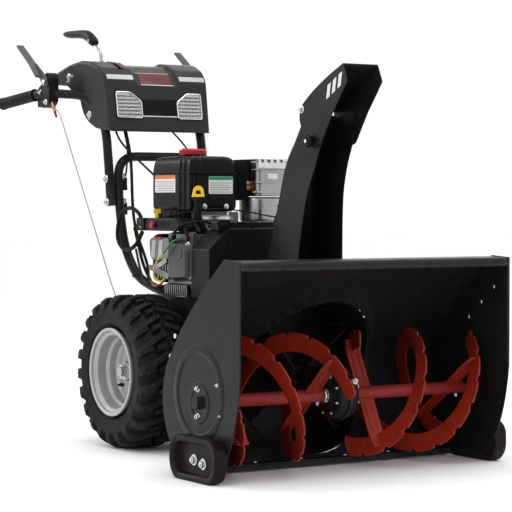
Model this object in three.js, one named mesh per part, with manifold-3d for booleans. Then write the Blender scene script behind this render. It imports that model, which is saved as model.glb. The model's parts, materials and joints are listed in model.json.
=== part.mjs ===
// Two stage snowblower: millimetres, +Z up, intake facing -Y, handlebars at +Y.
// Working coordinates: x = 0 is the middle of the machine, y = 0 the front edge of the
// intake, z = 0 the ground. The last group moves the origin to the middle of the footprint.
import * as THREE from 'three';
import { mergeVertices } from 'three/addons/utils/BufferGeometryUtils.js';
import Module from 'manifold-3d';

const wasm = await Module();
wasm.setup();

// ---------------------------------------------------------------- driving dimensions
const TOUCH_GAP = 0.3;
const OVERALL_LENGTH = 1500;

const INTAKE_HALF_WIDTH = 391.8;
const PLATE = 3.5;
const SHOE_OUTER_X = 427;
const SHOE_FLOOR_X = 411;
const AUGER_Y = 182;
const AUGER_Z = 180;
const AUGER_RADIUS = 156;
const RIBBON_WIDTH = 46;
const RIBBON_THICKNESS = 5;
const RIBBON_PITCH = 330;
const RAKE_INNER_X = 44;
const RAKE_OUTER_X = 378;
const RAKE_ARM_WIDTH = 44;
const RAKE_ARM_X = [82, 338];
const RAKE_TUBE_RADIUS = 16;
const AUGER_SHAFT_RADIUS = 12;
const WRAP_RADIUS = 166.5;

const IMPELLER_Z = 215;
const DRUM_RADIUS = 190;
const DRUM_REAR_Y = 470;
const IMPELLER_SHAFT_RADIUS = 9.5;

const CHUTE_X = 32;
const CHUTE_Y = 376;
const CHUTE_THROAT_RADIUS = 78;
const CHUTE_RING_Z = 438.4;
const CHUTE_GEAR_TEETH = 44;
const CHUTE_PINION_TEETH = 11;
const CHUTE_GEAR_RADIUS = 109;
const DEFLECTOR_PIVOT = [308, 880];
const DEFLECTOR_HALF_WIDTH = 52.5;
const DEFLECTOR_TRAVEL_DEG = 55;
const KNOB_CENTRE = [263, 800];

const DECK_Z = 400;
const CHASSIS_FRONT_Y = 474;
const CHASSIS_REAR_Y = 930;
const CHASSIS_FRONT_X = 150;
const CHASSIS_REAR_X = 118;
const CHASSIS_WALL = 3;
const AXLE_Y = 806;
const TYRE_RADIUS = 203;
const TYRE_INNER_X = 136;
const TYRE_OUTER_X = 299;
const RIM_RADIUS = 116.5;
const AXLE_RADIUS = 12.7;
const DRIVE_MODULE = 5;
const PINION_TEETH = 15;
const AXLE_GEAR_TEETH = 45;
const GEAR_X = -95;
const HEX_SHAFT_Y = 684;
const HEX_RADIUS = 10;
const FRICTION_DISC_REAR_Y = 628;
const FRICTION_WHEEL_RADIUS = 55.5;
const FRICTION_WHEEL_X = 30;

const CRANK_Z = 490;
const AUGER_BELT_Y = 570;
const DRIVE_BELT_Y = 592;
const BELT_THICKNESS = 8;
const BELT_WIDTH = 11;
const IMPELLER_PULLEY_RADIUS = 95;
const CRANK_PULLEY_RADIUS = 34;
const DISC_PULLEY_RADIUS = 55;

const TUBE_RADIUS = 12.7;
const LOWER_TUBE_X = 125;
const UPPER_TUBE_X = 152;
const GRIP_RADIUS = 18;
const GRIP_START = [243, 1300, 962];
const GRIP_END_X = 286;
const GRIP_END_Y = OVERALL_LENGTH - 4.48;
const GRIP_END_Z = 936;
const BRACKET_X = [222, 252];
const LEVER_PIVOT = [1268, 990];
const LEVER_PIN_RADIUS = 4;
const LEVER_OF = { left: 'traction', right: 'auger' };
const SPEED_LEVER_X = -100;
const SPEED_SLOT_X = [-107, -93];
const SPEED_PIVOT = [1212, 912];
const SPEED_PIN_RADIUS = 4;

// ---------------------------------------------------------------- derived dimensions
const CHUTE_PINION_RADIUS = CHUTE_GEAR_RADIUS * CHUTE_PINION_TEETH / CHUTE_GEAR_TEETH;
const PINION_RADIUS = DRIVE_MODULE * PINION_TEETH / 2;
const AXLE_GEAR_RADIUS = DRIVE_MODULE * AXLE_GEAR_TEETH / 2;
const AXLE_Z = TYRE_RADIUS;
const SHAFT_DISTANCE = PINION_RADIUS + AXLE_GEAR_RADIUS;
const HEX_SHAFT_Z = AXLE_Z + Math.sqrt(SHAFT_DISTANCE ** 2 - (AXLE_Y - HEX_SHAFT_Y) ** 2);

const rad = THREE.MathUtils.degToRad;

// ---------------------------------------------------------------- solids
function solid(geometry) {
  const bare = geometry.clone();
  bare.deleteAttribute('normal');
  bare.deleteAttribute('uv');
  const merged = mergeVertices(bare, 1e-4);
  const index = merged.index.array;
  const triangles = [];
  for (let i = 0; i < index.length; i += 3) {
    const [a, b, c] = [index[i], index[i + 1], index[i + 2]];
    if (a !== b && b !== c && c !== a) {
      triangles.push(a, b, c);
    }
  }
  return new wasm.Manifold(new wasm.Mesh({
    numProp: 3,
    vertProperties: new Float32Array(merged.attributes.position.array),
    triVerts: Uint32Array.from(triangles),
  }));
}

const join = (first, ...others) => others.reduce((sum, other) => sum.add(other), first);
const cut = (first, ...others) => others.reduce((rest, other) => rest.subtract(other), first);

function box(xRange, yRange, zRange) {
  const size = [xRange, yRange, zRange].map(([low, high]) => high - low);
  const middle = [xRange, yRange, zRange].map(([low, high]) => (low + high) / 2);
  return solid(new THREE.BoxGeometry(...size).translate(...middle));
}

// A flat outline extruded along x, y or z. Outline pairs are (y, z), (x, z) or (x, y).
function prism(outline, axis, [low, high], holes = []) {
  const shape = outline instanceof THREE.Shape
    ? outline
    : new THREE.Shape(outline.map(([a, b]) => new THREE.Vector2(a, b)));
  shape.holes.push(...holes);
  const geometry = new THREE.ExtrudeGeometry(shape, {
    depth: high - low, bevelEnabled: false, curveSegments: 10,
  });
  const turn = new THREE.Matrix4();
  if (axis === 'x') {
    turn.set(0, 0, 1, low, 1, 0, 0, 0, 0, 1, 0, 0, 0, 0, 0, 1);
  } else if (axis === 'y') {
    turn.set(1, 0, 0, 0, 0, 0, -1, high, 0, 1, 0, 0, 0, 0, 0, 1);
  } else {
    turn.makeTranslation(0, 0, low);
  }
  return solid(geometry.applyMatrix4(turn));
}

function circle(a, b, radius, sides) {
  return Array.from({ length: sides }, (_, i) => {
    const angle = 2 * Math.PI * (i + 0.5) / sides;
    return [a + radius * Math.cos(angle), b + radius * Math.sin(angle)];
  });
}

const rod = (axis, [a, b], radius, range, sides = 20) => prism(circle(a, b, radius, sides), axis, range);

// A profile of (radius, height) pairs turned about an axis through (a, b).
function turned(profile, axis, [a, b], segments = 32) {
  const points = profile.map(([radius, height]) => new THREE.Vector2(radius, height));
  points.push(points[0].clone());
  const geometry = new THREE.LatheGeometry(points, segments);
  const turn = new THREE.Matrix4();
  if (axis === 'x') {
    turn.set(0, 1, 0, 0, 0, 0, 1, a, 1, 0, 0, b, 0, 0, 0, 1);
  } else if (axis === 'y') {
    turn.set(0, 0, 1, a, 0, 1, 0, 0, -1, 0, 0, b, 0, 0, 0, 1);
  } else {
    turn.set(1, 0, 0, a, 0, 0, -1, b, 0, 1, 0, 0, 0, 0, 0, 1);
  }
  geometry.applyMatrix4(turn);
  const body = solid(geometry);
  return body.volume() < 0 ? solid(flipped(geometry)) : body;
}

function flipped(geometry) {
  const turnedIn = geometry.clone();
  const index = turnedIn.index.array;
  for (let i = 0; i < index.length; i += 3) {
    [index[i], index[i + 1]] = [index[i + 1], index[i]];
  }
  return turnedIn;
}

// Straight runs joined by round bends, with cross-sections only where the run bends.
class BentRun extends THREE.Curve {
  constructor(points, bend, stationsPerBend) {
    super();
    const knots = points.map((p) => new THREE.Vector3(...p));
    this.stations = [knots[0]];
    for (let i = 1; i < knots.length - 1; i += 1) {
      const before = knots[i - 1].clone().sub(knots[i]);
      const after = knots[i + 1].clone().sub(knots[i]);
      const reach = Math.min(bend, before.length() * 0.45, after.length() * 0.45);
      const enter = knots[i].clone().addScaledVector(before.normalize(), reach);
      const leave = knots[i].clone().addScaledVector(after.normalize(), reach);
      const corner = new THREE.QuadraticBezierCurve3(enter, knots[i], leave);
      this.stations.push(...corner.getPoints(stationsPerBend));
    }
    this.stations.push(knots[knots.length - 1]);
    this.last = this.stations.length - 1;
  }

  getPointAt(share) {
    return this.stations[Math.round(share * this.last)].clone();
  }

  getTangentAt(share) {
    const i = Math.round(share * this.last);
    const before = this.stations[Math.max(i - 1, 0)];
    const after = this.stations[Math.min(i + 1, this.last)];
    return after.clone().sub(before).normalize();
  }
}

function tube(points, radius, { bend = 60, perBend = 3, sides = 12 } = {}) {
  const section = new THREE.Shape(circle(0, 0, radius, sides).map(([a, b]) => new THREE.Vector2(a, b)));
  const path = new BentRun(points, bend, perBend);
  return solid(new THREE.ExtrudeGeometry(section, {
    steps: path.last, extrudePath: path, bevelEnabled: false,
  }));
}

// A closed skin through a row of four-cornered sections.
function loft(sections) {
  const positions = sections.flat().flat();
  const index = [0, 2, 1, 0, 3, 2];
  const last = (sections.length - 1) * 4;
  index.push(last, last + 1, last + 2, last, last + 2, last + 3);
  for (let i = 0; i < sections.length - 1; i += 1) {
    for (let j = 0; j < 4; j += 1) {
      const [a, b] = [i * 4 + j, i * 4 + (j + 1) % 4];
      index.push(a, b, b + 4, a, b + 4, a + 4);
    }
  }
  const geometry = new THREE.BufferGeometry();
  geometry.setAttribute('position', new THREE.Float32BufferAttribute(positions, 3));
  geometry.setIndex(index);
  const body = solid(geometry);
  return body.volume() < 0 ? solid(flipped(geometry)) : body;
}

// Spur teeth with plenty of backlash, as a closed outline.
const TOOTH_RISE = 0.225;
function gearOutline(teeth, pitchRadius, [a, b], phase) {
  const pitch = 2 * Math.PI / teeth;
  const rise = TOOTH_RISE * pitchRadius * pitch;
  const outline = [];
  for (let i = 0; i < teeth; i += 1) {
    const middle = phase + i * pitch;
    for (const [share, height] of [[-0.26, -1.25], [-0.13, 1], [0.13, 1], [0.26, -1.25]]) {
      const angle = middle + share * pitch;
      const radius = pitchRadius + height * rise;
      outline.push([a + radius * Math.cos(angle), b + radius * Math.sin(angle)]);
    }
  }
  return outline;
}

// A belt running round two pulleys one above the other.
function beltOutline(low, high, spread) {
  const [lowZ, lowRadius] = low;
  const [highZ, highRadius] = high;
  const lean = Math.asin((lowRadius - highRadius) / (highZ - lowZ));
  const steps = 12;
  const arc = (z, radius, start, sweep) => Array.from({ length: steps + 1 }, (_, i) => {
    const angle = start + sweep * i / steps;
    const reach = (radius + spread) / Math.cos(sweep / steps / 2);
    return [reach * Math.cos(angle), z + reach * Math.sin(angle)];
  });
  return [
    ...arc(lowZ, lowRadius, Math.PI - lean, Math.PI + 2 * lean),
    ...arc(highZ, highRadius, lean, Math.PI - 2 * lean),
  ];
}

// ---------------------------------------------------------------- assembly helpers
const machine = new THREE.Group();
machine.position.y = -OVERALL_LENGTH / 2;

const FINISHES = {
  blackPaint: [0x1b1c1e, 0.38, 0.35],
  redPaint: [0x7e1512, 0.42, 0.3],
  silverPaint: [0xa9abad, 0.35, 0.7],
  steel: [0x9a9c9e, 0.35, 0.9],
  castGrey: [0x6f6d69, 0.6, 0.6],
  rubber: [0x17181a, 0.85, 0],
  blackPlastic: [0x232426, 0.45, 0.05],
  shoePlastic: [0x1d1112, 0.5, 0.05],
  redPlastic: [0xb3161f, 0.35, 0],
  yellowPlastic: [0xe8c51c, 0.4, 0],
  lens: [0xc9ccd1, 0.15, 0.3],
  mufflerSteel: [0xb4b4b2, 0.3, 0.9],
};

function add(name, body, finish) {
  const mesh = body.getMesh();
  const geometry = new THREE.BufferGeometry();
  geometry.setAttribute('position', new THREE.BufferAttribute(new Float32Array(mesh.vertProperties), 3));
  geometry.setIndex(new THREE.BufferAttribute(new Uint32Array(mesh.triVerts), 1));
  geometry.computeVertexNormals();
  const [color, roughness, metalness] = FINISHES[finish];
  const material = new THREE.MeshStandardMaterial({ color, roughness, metalness });
  const part = new THREE.Mesh(geometry, material);
  part.name = name;
  machine.add(part);
}

const sided = (side, low, high) => (side > 0 ? [low, high] : [-high, -low]);
const SIDES = [['left', 1], ['right', -1]];

// ---------------------------------------------------------------- auger housing
// The housing skin in (y, z): front lip, sloping back, wrap round the auger, floor.
function housingSkin() {
  const skin = new THREE.Path();
  skin.moveTo(3, 510);
  skin.lineTo(66, 512);
  skin.quadraticCurveTo(235, 392, AUGER_Y + WRAP_RADIUS * Math.cos(rad(30)), AUGER_Z + WRAP_RADIUS * 0.5);
  skin.absarc(AUGER_Y, AUGER_Z, WRAP_RADIUS, rad(30), rad(-52), true);
  skin.lineTo(264, 17.5);
  skin.lineTo(228, 17.5);
  return skin.getPoints(8);
}

function offsetPath(points, distance) {
  return points.map((point, i) => {
    const before = points[Math.max(i - 1, 0)];
    const after = points[Math.min(i + 1, points.length - 1)];
    const along = after.clone().sub(before).normalize();
    return [point.x - along.y * distance, point.y + along.x * distance];
  });
}

const skinPoints = housingSkin().filter((p, i, all) => i === 0 || p.distanceTo(all[i - 1]) > 0.01);
const outerSkin = offsetPath(skinPoints, 0);
const innerSkin = offsetPath(skinPoints, -PLATE);
const clearSkin = offsetPath(skinPoints, 0.4);

const wallX = INTAKE_HALF_WIDTH - PLATE - TOUCH_GAP;
const housingWall = prism([...outerSkin, ...innerSkin.reverse()], 'x', [-wallX, wallX]);
const frontLip = box([-wallX, wallX], [3, 7], [492, 508]);
const drumMouth = rod('y', [0, IMPELLER_Z], DRUM_RADIUS, [150, 420], 36);
add('auger_housing', cut(join(housingWall, frontLip), drumMouth), 'blackPaint');

function sidePlateOutline() {
  const edge = new THREE.Shape();
  edge.moveTo(0, 514);
  edge.lineTo(68, 518);
  edge.quadraticCurveTo(240, 396, AUGER_Y + 150.4, AUGER_Z + 83.4);
  edge.absarc(AUGER_Y, AUGER_Z, 172, rad(29), rad(-52), true);
  edge.lineTo(262, 11);
  edge.lineTo(145, 6);
  edge.lineTo(102, 12);
  edge.bezierCurveTo(50, 50, 12, 130, 0, 250);
  return edge;
}

const PLATE_HOLES = [[37, 475], [101, 421], [135, 382]];
const shoeOutline = [[52, 24], [80, 0], [238, 0], [264, 26], [264, 84], [244, 104], [72, 104], [52, 84]];
const shoePocket = [[84, 28], [232, 28], [240, 40], [240, 72], [230, 82], [86, 82], [76, 70], [76, 40]];
for (const [side, sign] of SIDES) {
  const across = sided(sign, INTAKE_HALF_WIDTH - PLATE, INTAKE_HALF_WIDTH);
  const wide = sided(sign, INTAKE_HALF_WIDTH - 10, INTAKE_HALF_WIDTH + 10);
  const holes = PLATE_HOLES.map((centre) => rod('x', centre, 5, wide, 10));
  const shaftHole = rod('x', [AUGER_Y, AUGER_Z], AUGER_SHAFT_RADIUS + 0.5, wide, 20);
  add(`side_plate_${side}`, cut(prism(sidePlateOutline(), 'x', across), shaftHole, ...holes), 'blackPaint');

  const shoeX = sided(sign, INTAKE_HALF_WIDTH + TOUCH_GAP, SHOE_OUTER_X);
  const shoe = prism(shoeOutline, 'x', shoeX);
  const pocket = prism(shoePocket, 'x', sided(sign, SHOE_FLOOR_X, SHOE_OUTER_X + 10));
  add(`skid_shoe_${side}`, cut(shoe, pocket), 'shoePlastic');
}

const scraperOutline = [[227, 4], [259, 4], [262, 8], [262, 13.6], [227, 13.6]];
add('scraper_bar', prism(scraperOutline, 'x', [-386, 386]), 'blackPaint');

// ---------------------------------------------------------------- impeller drum
const drumOuter = DRUM_RADIUS + PLATE;
const housingFill = prism([...clearSkin, [0, 17], [0, 510]], 'x', [-wallX, wallX]);
const drumShell = cut(
  rod('y', [0, IMPELLER_Z], drumOuter, [180, DRUM_REAR_Y], 36),
  rod('y', [0, IMPELLER_Z], DRUM_RADIUS, [170, DRUM_REAR_Y - PLATE], 36),
  rod('y', [0, IMPELLER_Z], IMPELLER_SHAFT_RADIUS + 0.5, [400, 500], 20),
  rod('z', [CHUTE_X, CHUTE_Y], CHUTE_THROAT_RADIUS, [300, 450], 28),
  housingFill,
);
add('impeller_drum', drumShell, 'blackPaint');

const PINION_DIRECTION = rad(30);
const pinionReach = CHUTE_GEAR_RADIUS + CHUTE_PINION_RADIUS;
const PINION_AXIS = [
  CHUTE_X + pinionReach * Math.cos(PINION_DIRECTION),
  CHUTE_Y + pinionReach * Math.sin(PINION_DIRECTION),
];
const collarSkirt = turned([
  [CHUTE_THROAT_RADIUS, 350], [86, 350], [86, 434], [108, 434], [108, 438], [CHUTE_THROAT_RADIUS, 438],
], 'z', [CHUTE_X, CHUTE_Y], 28);
const [pinionX, pinionY] = PINION_AXIS;
const motorShelf = prism([
  [60, 440], [112, 395], [pinionX + 30, pinionY - 22], [pinionX + 26, pinionY + 26],
  [pinionX - 24, pinionY + 28], [75, 475],
], 'z', [430, 434]);
const motorCan = rod('z', PINION_AXIS, 22, [374, 431], 20);
const collarHole = rod('z', [CHUTE_X, CHUTE_Y], CHUTE_THROAT_RADIUS, [340, 445], 28);
add('chute_collar', cut(
  join(collarSkirt, motorShelf, motorCan),
  rod('y', [0, IMPELLER_Z], drumOuter + 0.4, [170, 480], 36),
  collarHole,
  rod('z', PINION_AXIS, 5, [400, 445], 12),
), 'blackPaint');

// ---------------------------------------------------------------- augers
function ribbon(side, endAngle) {
  const turns = (RAKE_OUTER_X - RAKE_INNER_X) / RIBBON_PITCH;
  const steps = 27;
  const sections = [];
  for (let i = 0; i <= steps; i += 1) {
    const share = turns * i / steps;
    const angle = rad(endAngle) - 2 * Math.PI * share;
    const x = RAKE_INNER_X + RIBBON_PITCH * share;
    const corner = (radius, offset) => [
      side * (x + offset), AUGER_Y + radius * Math.cos(angle), AUGER_Z + radius * Math.sin(angle),
    ];
    const inner = AUGER_RADIUS - RIBBON_WIDTH;
    sections.push([
      corner(inner, 0), corner(AUGER_RADIUS, 0),
      corner(AUGER_RADIUS, RIBBON_THICKNESS), corner(inner, RIBBON_THICKNESS),
    ]);
  }
  return loft(sections);
}

// A flat arm right through the tube, carrying both ribbons of one rake.
function rakeArm(side, x, angleDeg) {
  const arm = new THREE.BoxGeometry(RAKE_ARM_WIDTH, 2 * (AUGER_RADIUS - 14), RIBBON_THICKNESS);
  arm.rotateX(rad(angleDeg)).translate(side * x, AUGER_Y, AUGER_Z);
  return solid(arm);
}

const RAKE_END_ANGLE = { left: 285, right: 180 };
for (const [side, sign] of SIDES) {
  const end = RAKE_END_ANGLE[side];
  const range = sided(sign, RAKE_INNER_X + 2, RAKE_OUTER_X + 6);
  const pipe = rod('x', [AUGER_Y, AUGER_Z], RAKE_TUBE_RADIUS, range, 20);
  const bore = rod('x', [AUGER_Y, AUGER_Z], AUGER_SHAFT_RADIUS + 0.4, sided(sign, 30, 400), 20);
  const armAt = (x) => rakeArm(sign, x, end - 360 * (x - RAKE_INNER_X) / RIBBON_PITCH);
  const rake = join(pipe, ribbon(sign, end), ribbon(sign, end + 180), ...RAKE_ARM_X.map(armAt));
  add(`auger_rake_${side}`, cut(rake, bore), 'redPaint');
}

const wormWheelRadius = 21;
const augerShaft = rod('x', [AUGER_Y, AUGER_Z], AUGER_SHAFT_RADIUS, [-402, 402], 20);
const wormWheel = prism(gearOutline(20, wormWheelRadius - 1, [AUGER_Y, AUGER_Z], 0), 'x', [-10, 10]);
add('auger_shaft', join(augerShaft, wormWheel), 'steel');

const caseProfile = [[0, -33], [52, -33], [60, -26], [60, 26], [52, 33], [0, 33]];
const neckProfile = [[0, 150], [36, 150], [36, 250], [27, 262], [27, 322], [0, 322]];
const caseBody = turned(caseProfile, 'x', [AUGER_Y, AUGER_Z], 20);
const caseNeck = turned(neckProfile, 'y', [0, IMPELLER_Z], 14);
const caseRoom = rod('x', [AUGER_Y, AUGER_Z], 44, [-24, 24], 20);
const neckRoom = rod('y', [0, IMPELLER_Z], 16, [150, 300], 14);
const neckBore = rod('y', [0, IMPELLER_Z], IMPELLER_SHAFT_RADIUS + 0.5, [140, 340], 20);
const caseBore = rod('x', [AUGER_Y, AUGER_Z], AUGER_SHAFT_RADIUS + 0.5, [-60, 60], 20);
const fillerPlug = rod('y', [10, 206], 8, [112, 140], 12);
const caseCasting = join(caseBody, caseNeck, fillerPlug);
add('gear_case', cut(caseCasting, caseRoom, neckRoom, neckBore, caseBore), 'castGrey');

// ---------------------------------------------------------------- impeller and its shaft
const impellerHub = cut(
  rod('y', [0, IMPELLER_Z], 24, [348, 452], 24),
  rod('y', [0, IMPELLER_Z], IMPELLER_SHAFT_RADIUS + 0.4, [340, 460], 20),
);
function impellerBlade(angle) {
  const [root, tip, length, thickness, lipHeight] = [22, 182, 100, 5, 22];
  const span = tip + 2 - root;
  const blade = new THREE.BoxGeometry(span, length, thickness).translate(root + span / 2 - 1, 0, 0);
  const lip = new THREE.BoxGeometry(thickness, length, lipHeight);
  lip.translate(tip - thickness / 2, 0, (lipHeight - thickness) / 2);
  const turn = new THREE.Matrix4().makeRotationY(-angle);
  turn.setPosition(0, 400, IMPELLER_Z);
  return join(solid(blade.applyMatrix4(turn)), solid(lip.applyMatrix4(turn)));
}
const BLADE_COUNT = 4;
const bladeAngle = (i) => rad(38) + 2 * Math.PI * i / BLADE_COUNT;
const blades = Array.from({ length: BLADE_COUNT }, (_, i) => impellerBlade(bladeAngle(i)));
add('impeller', join(...blades, impellerHub), 'redPaint');

function pulley(y, radius, z, sides = 28) {
  const half = BELT_WIDTH / 2;
  const flange = radius + 7;
  return turned([
    [0, y - half - 4], [flange, y - half - 4], [flange, y - half - 1.5], [radius, y - half],
    [radius, y + half], [flange, y + half + 1.5], [flange, y + half + 4], [0, y + half + 4],
  ], 'y', [0, z], sides);
}

const impellerShaft = rod('y', [0, IMPELLER_Z], IMPELLER_SHAFT_RADIUS, [152, 582], 20);
const wormRadius = IMPELLER_Z - AUGER_Z - wormWheelRadius - 0.9;
const wormThread = rod('y', [0, IMPELLER_Z], wormRadius, [160, 206], 20);
const impellerPulley = pulley(AUGER_BELT_Y, IMPELLER_PULLEY_RADIUS, IMPELLER_Z);
add('impeller_shaft', join(impellerShaft, wormThread, impellerPulley), 'steel');

// ---------------------------------------------------------------- chute
const chuteTeeth = gearOutline(CHUTE_GEAR_TEETH, CHUTE_GEAR_RADIUS, [CHUTE_X, CHUTE_Y], PINION_DIRECTION);
const chuteGear = prism(chuteTeeth, 'z', [CHUTE_RING_Z, CHUTE_RING_Z + 6]);
// Chute sections: rear (y, z), front (y, z), half width.
const CHUTE_SECTIONS = [
  [[455, 440], [300, 440], 67.5],
  [[453, 515], [302, 519], 67.5],
  [[425, 638], [284, 655], 57],
  [[400, 742], [257, 733], 49.5],
  [[355, 808], [228, 800], 48],
  [[314, 870], [229, 822], 48],
];
function chuteLoft(rearShift, frontShift, wallShift, lift) {
  const count = CHUTE_SECTIONS.length;
  return loft(CHUTE_SECTIONS.map(([rear, front, half], i) => {
    const ends = { 0: -lift, [count - 1]: lift };
    const rise = ends[i] ?? 0;
    const [left, right] = [CHUTE_X + half - wallShift, CHUTE_X - half + wallShift];
    const [rearY, rearZ] = [rear[0] - rearShift, rear[1] + rise];
    const [frontY, frontZ] = [front[0] - frontShift, front[1] + rise];
    return [[right, rearY, rearZ], [left, rearY, rearZ], [left, frontY, frontZ], [right, frontY, frontZ]];
  }));
}
const throat = rod('z', [CHUTE_X, CHUTE_Y], CHUTE_THROAT_RADIUS - 12, [430, 460], 24);
const chuteShell = cut(chuteLoft(0, 0, 0, 0), chuteLoft(3, 40, 3, 14));
const frontGate = box([CHUTE_X - 67, CHUTE_X + 67], [300, 303], [442, 486]);
const [knobY, knobZ] = KNOB_CENTRE;
const chuteX = (low, high) => [CHUTE_X + low, CHUTE_X + high];
const knobHole = rod('x', KNOB_CENTRE, 3.7, chuteX(-60, 60), 10);
add('chute', cut(join(chuteGear, chuteShell, frontGate), throat, knobHole), 'blackPaint');

const pinionPhase = PINION_DIRECTION + Math.PI * (1 + 1 / CHUTE_PINION_TEETH);
const pinionTeeth = gearOutline(CHUTE_PINION_TEETH, CHUTE_PINION_RADIUS, PINION_AXIS, pinionPhase);
add('chute_pinion', join(
  prism(pinionTeeth, 'z', [CHUTE_RING_Z, CHUTE_RING_Z + 8]),
  rod('z', PINION_AXIS, 4.6, [402, CHUTE_RING_Z + 12], 12),
), 'steel');

const [pivotY, pivotZ] = DEFLECTOR_PIVOT;
const slotRadius = Math.hypot(knobY - pivotY, knobZ - pivotZ);
const slotStart = Math.atan2(knobZ - pivotZ, knobY - pivotY) + rad(3);
function slotOutline(halfWidth) {
  const outline = [];
  const steps = 9;
  const sweep = rad(DEFLECTOR_TRAVEL_DEG + 6);
  for (const [radius, way] of [[slotRadius - halfWidth, 1], [slotRadius + halfWidth, -1]]) {
    for (let i = 0; i <= steps; i += 1) {
      const share = way > 0 ? i / steps : 1 - i / steps;
      const angle = slotStart - sweep * share;
      outline.push([pivotY + radius * Math.cos(angle), pivotZ + radius * Math.sin(angle)]);
    }
  }
  return outline;
}
const deflectorSide = [
  [316, 886], [130, 984], [110, 942], [172, 868], [222, 796], [262, 782], [300, 808], [320, 856],
];
const deflectorRoom = [[334, 872], [130, 979.6], [60, 1000], [60, 700], [400, 700], [400, 840]];
const hingeRoll = rod('x', DEFLECTOR_PIVOT, 5, chuteX(-DEFLECTOR_HALF_WIDTH, DEFLECTOR_HALF_WIDTH), 12);
const deflectorShell = cut(
  prism(deflectorSide, 'x', chuteX(-DEFLECTOR_HALF_WIDTH, DEFLECTOR_HALF_WIDTH)),
  prism(deflectorRoom, 'x', chuteX(2.5 - DEFLECTOR_HALF_WIDTH, DEFLECTOR_HALF_WIDTH - 2.5)),
  prism(slotOutline(5), 'x', chuteX(-60, 60)),
);
add('chute_deflector', join(deflectorShell, hingeRoll), 'blackPaint');

const knobOuter = CHUTE_X - DEFLECTOR_HALF_WIDTH;
add('deflector_knob', join(
  rod('x', KNOB_CENTRE, 3.2, [knobOuter - 4, CHUTE_X - 42], 10),
  rod('x', KNOB_CENTRE, 16, [knobOuter - 20, knobOuter - 1], 10),
), 'blackPlastic');

// ---------------------------------------------------------------- chassis and drive
const chassisPlan = (inset) => {
  const [wide, narrow] = [CHASSIS_FRONT_X - inset, CHASSIS_REAR_X - inset];
  const [front, rear] = [CHASSIS_FRONT_Y + inset, CHASSIS_REAR_Y - inset];
  const half = [[wide, front], [wide, 585 - inset / 2], [narrow, 600 - inset / 2], [narrow, rear]];
  return [...half, ...half.map(([x, y]) => [-x, y]).reverse()];
};
const chassisShell = cut(
  prism(chassisPlan(0), 'z', [60, DECK_Z]),
  prism(chassisPlan(CHASSIS_WALL), 'z', [50, DECK_Z - CHASSIS_WALL]),
);
const cableArmPlan = [[105, 924], [118, 924], [124, 985], [158, 1000], [158, 1018], [112, 1010]];
const cableArm = (sign) => prism(cableArmPlan.map(([x, y]) => [sign * x, y]), 'z', [306, 312]);
const discBearing = cut(
  join(box([-116, 116], [603, 611], [280, 312]), rod('y', [0, HEX_SHAFT_Z], 20, [603, 611], 20)),
  rod('y', [0, HEX_SHAFT_Z], 8.5, [600, 615], 16),
);
const beltOpening = box([-100, 100], [550, 606], [390, 410]);
add('chassis', cut(
  join(chassisShell, discBearing, cableArm(1), cableArm(-1)),
  beltOpening,
  rod('y', [0, IMPELLER_Z], IMPELLER_SHAFT_RADIUS + 0.5, [470, 482], 20),
  rod('x', [AXLE_Y, AXLE_Z], AXLE_RADIUS + 0.5, [-130, 130], 20),
  rod('x', [HEX_SHAFT_Y, HEX_SHAFT_Z], HEX_RADIUS + 0.5, [-130, 130], 20),
), 'blackPaint');

const teethRange = [GEAR_X - 7, GEAR_X + 7];
const meshAngle = Math.atan2(HEX_SHAFT_Z - AXLE_Z, HEX_SHAFT_Y - AXLE_Y);
add('axle', join(
  rod('x', [AXLE_Y, AXLE_Z], AXLE_RADIUS, [-268, 268], 20),
  prism(gearOutline(AXLE_GEAR_TEETH, AXLE_GEAR_RADIUS, [AXLE_Y, AXLE_Z], meshAngle), 'x', teethRange),
), 'steel');
const drivePhase = meshAngle + Math.PI * (1 + 1 / PINION_TEETH);
add('hex_shaft', join(
  rod('x', [HEX_SHAFT_Y, HEX_SHAFT_Z], HEX_RADIUS, [-122, 122], 6),
  prism(gearOutline(PINION_TEETH, PINION_RADIUS, [HEX_SHAFT_Y, HEX_SHAFT_Z], drivePhase), 'x', teethRange),
), 'steel');
const wheelProfile = [
  [0, -14], [26, -14], [26, -6], [FRICTION_WHEEL_RADIUS, -6],
  [FRICTION_WHEEL_RADIUS, 6], [26, 6], [26, 14], [0, 14],
].map(([radius, x]) => [radius, FRICTION_WHEEL_X + x]);
add('friction_wheel', cut(
  turned(wheelProfile, 'x', [HEX_SHAFT_Y, HEX_SHAFT_Z], 32),
  rod('x', [HEX_SHAFT_Y, HEX_SHAFT_Z], HEX_RADIUS + 0.5, [-20, 80], 6),
), 'rubber');
add('friction_disc', join(
  rod('y', [0, HEX_SHAFT_Z], 80, [FRICTION_DISC_REAR_Y - 8, FRICTION_DISC_REAR_Y], 36),
  rod('y', [0, HEX_SHAFT_Z], 8, [582, FRICTION_DISC_REAR_Y], 16),
  pulley(DRIVE_BELT_Y, DISC_PULLEY_RADIUS, HEX_SHAFT_Z).subtract(box([-90, 90], [602.2, 640], [200, 400])),
), 'steel');

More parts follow.
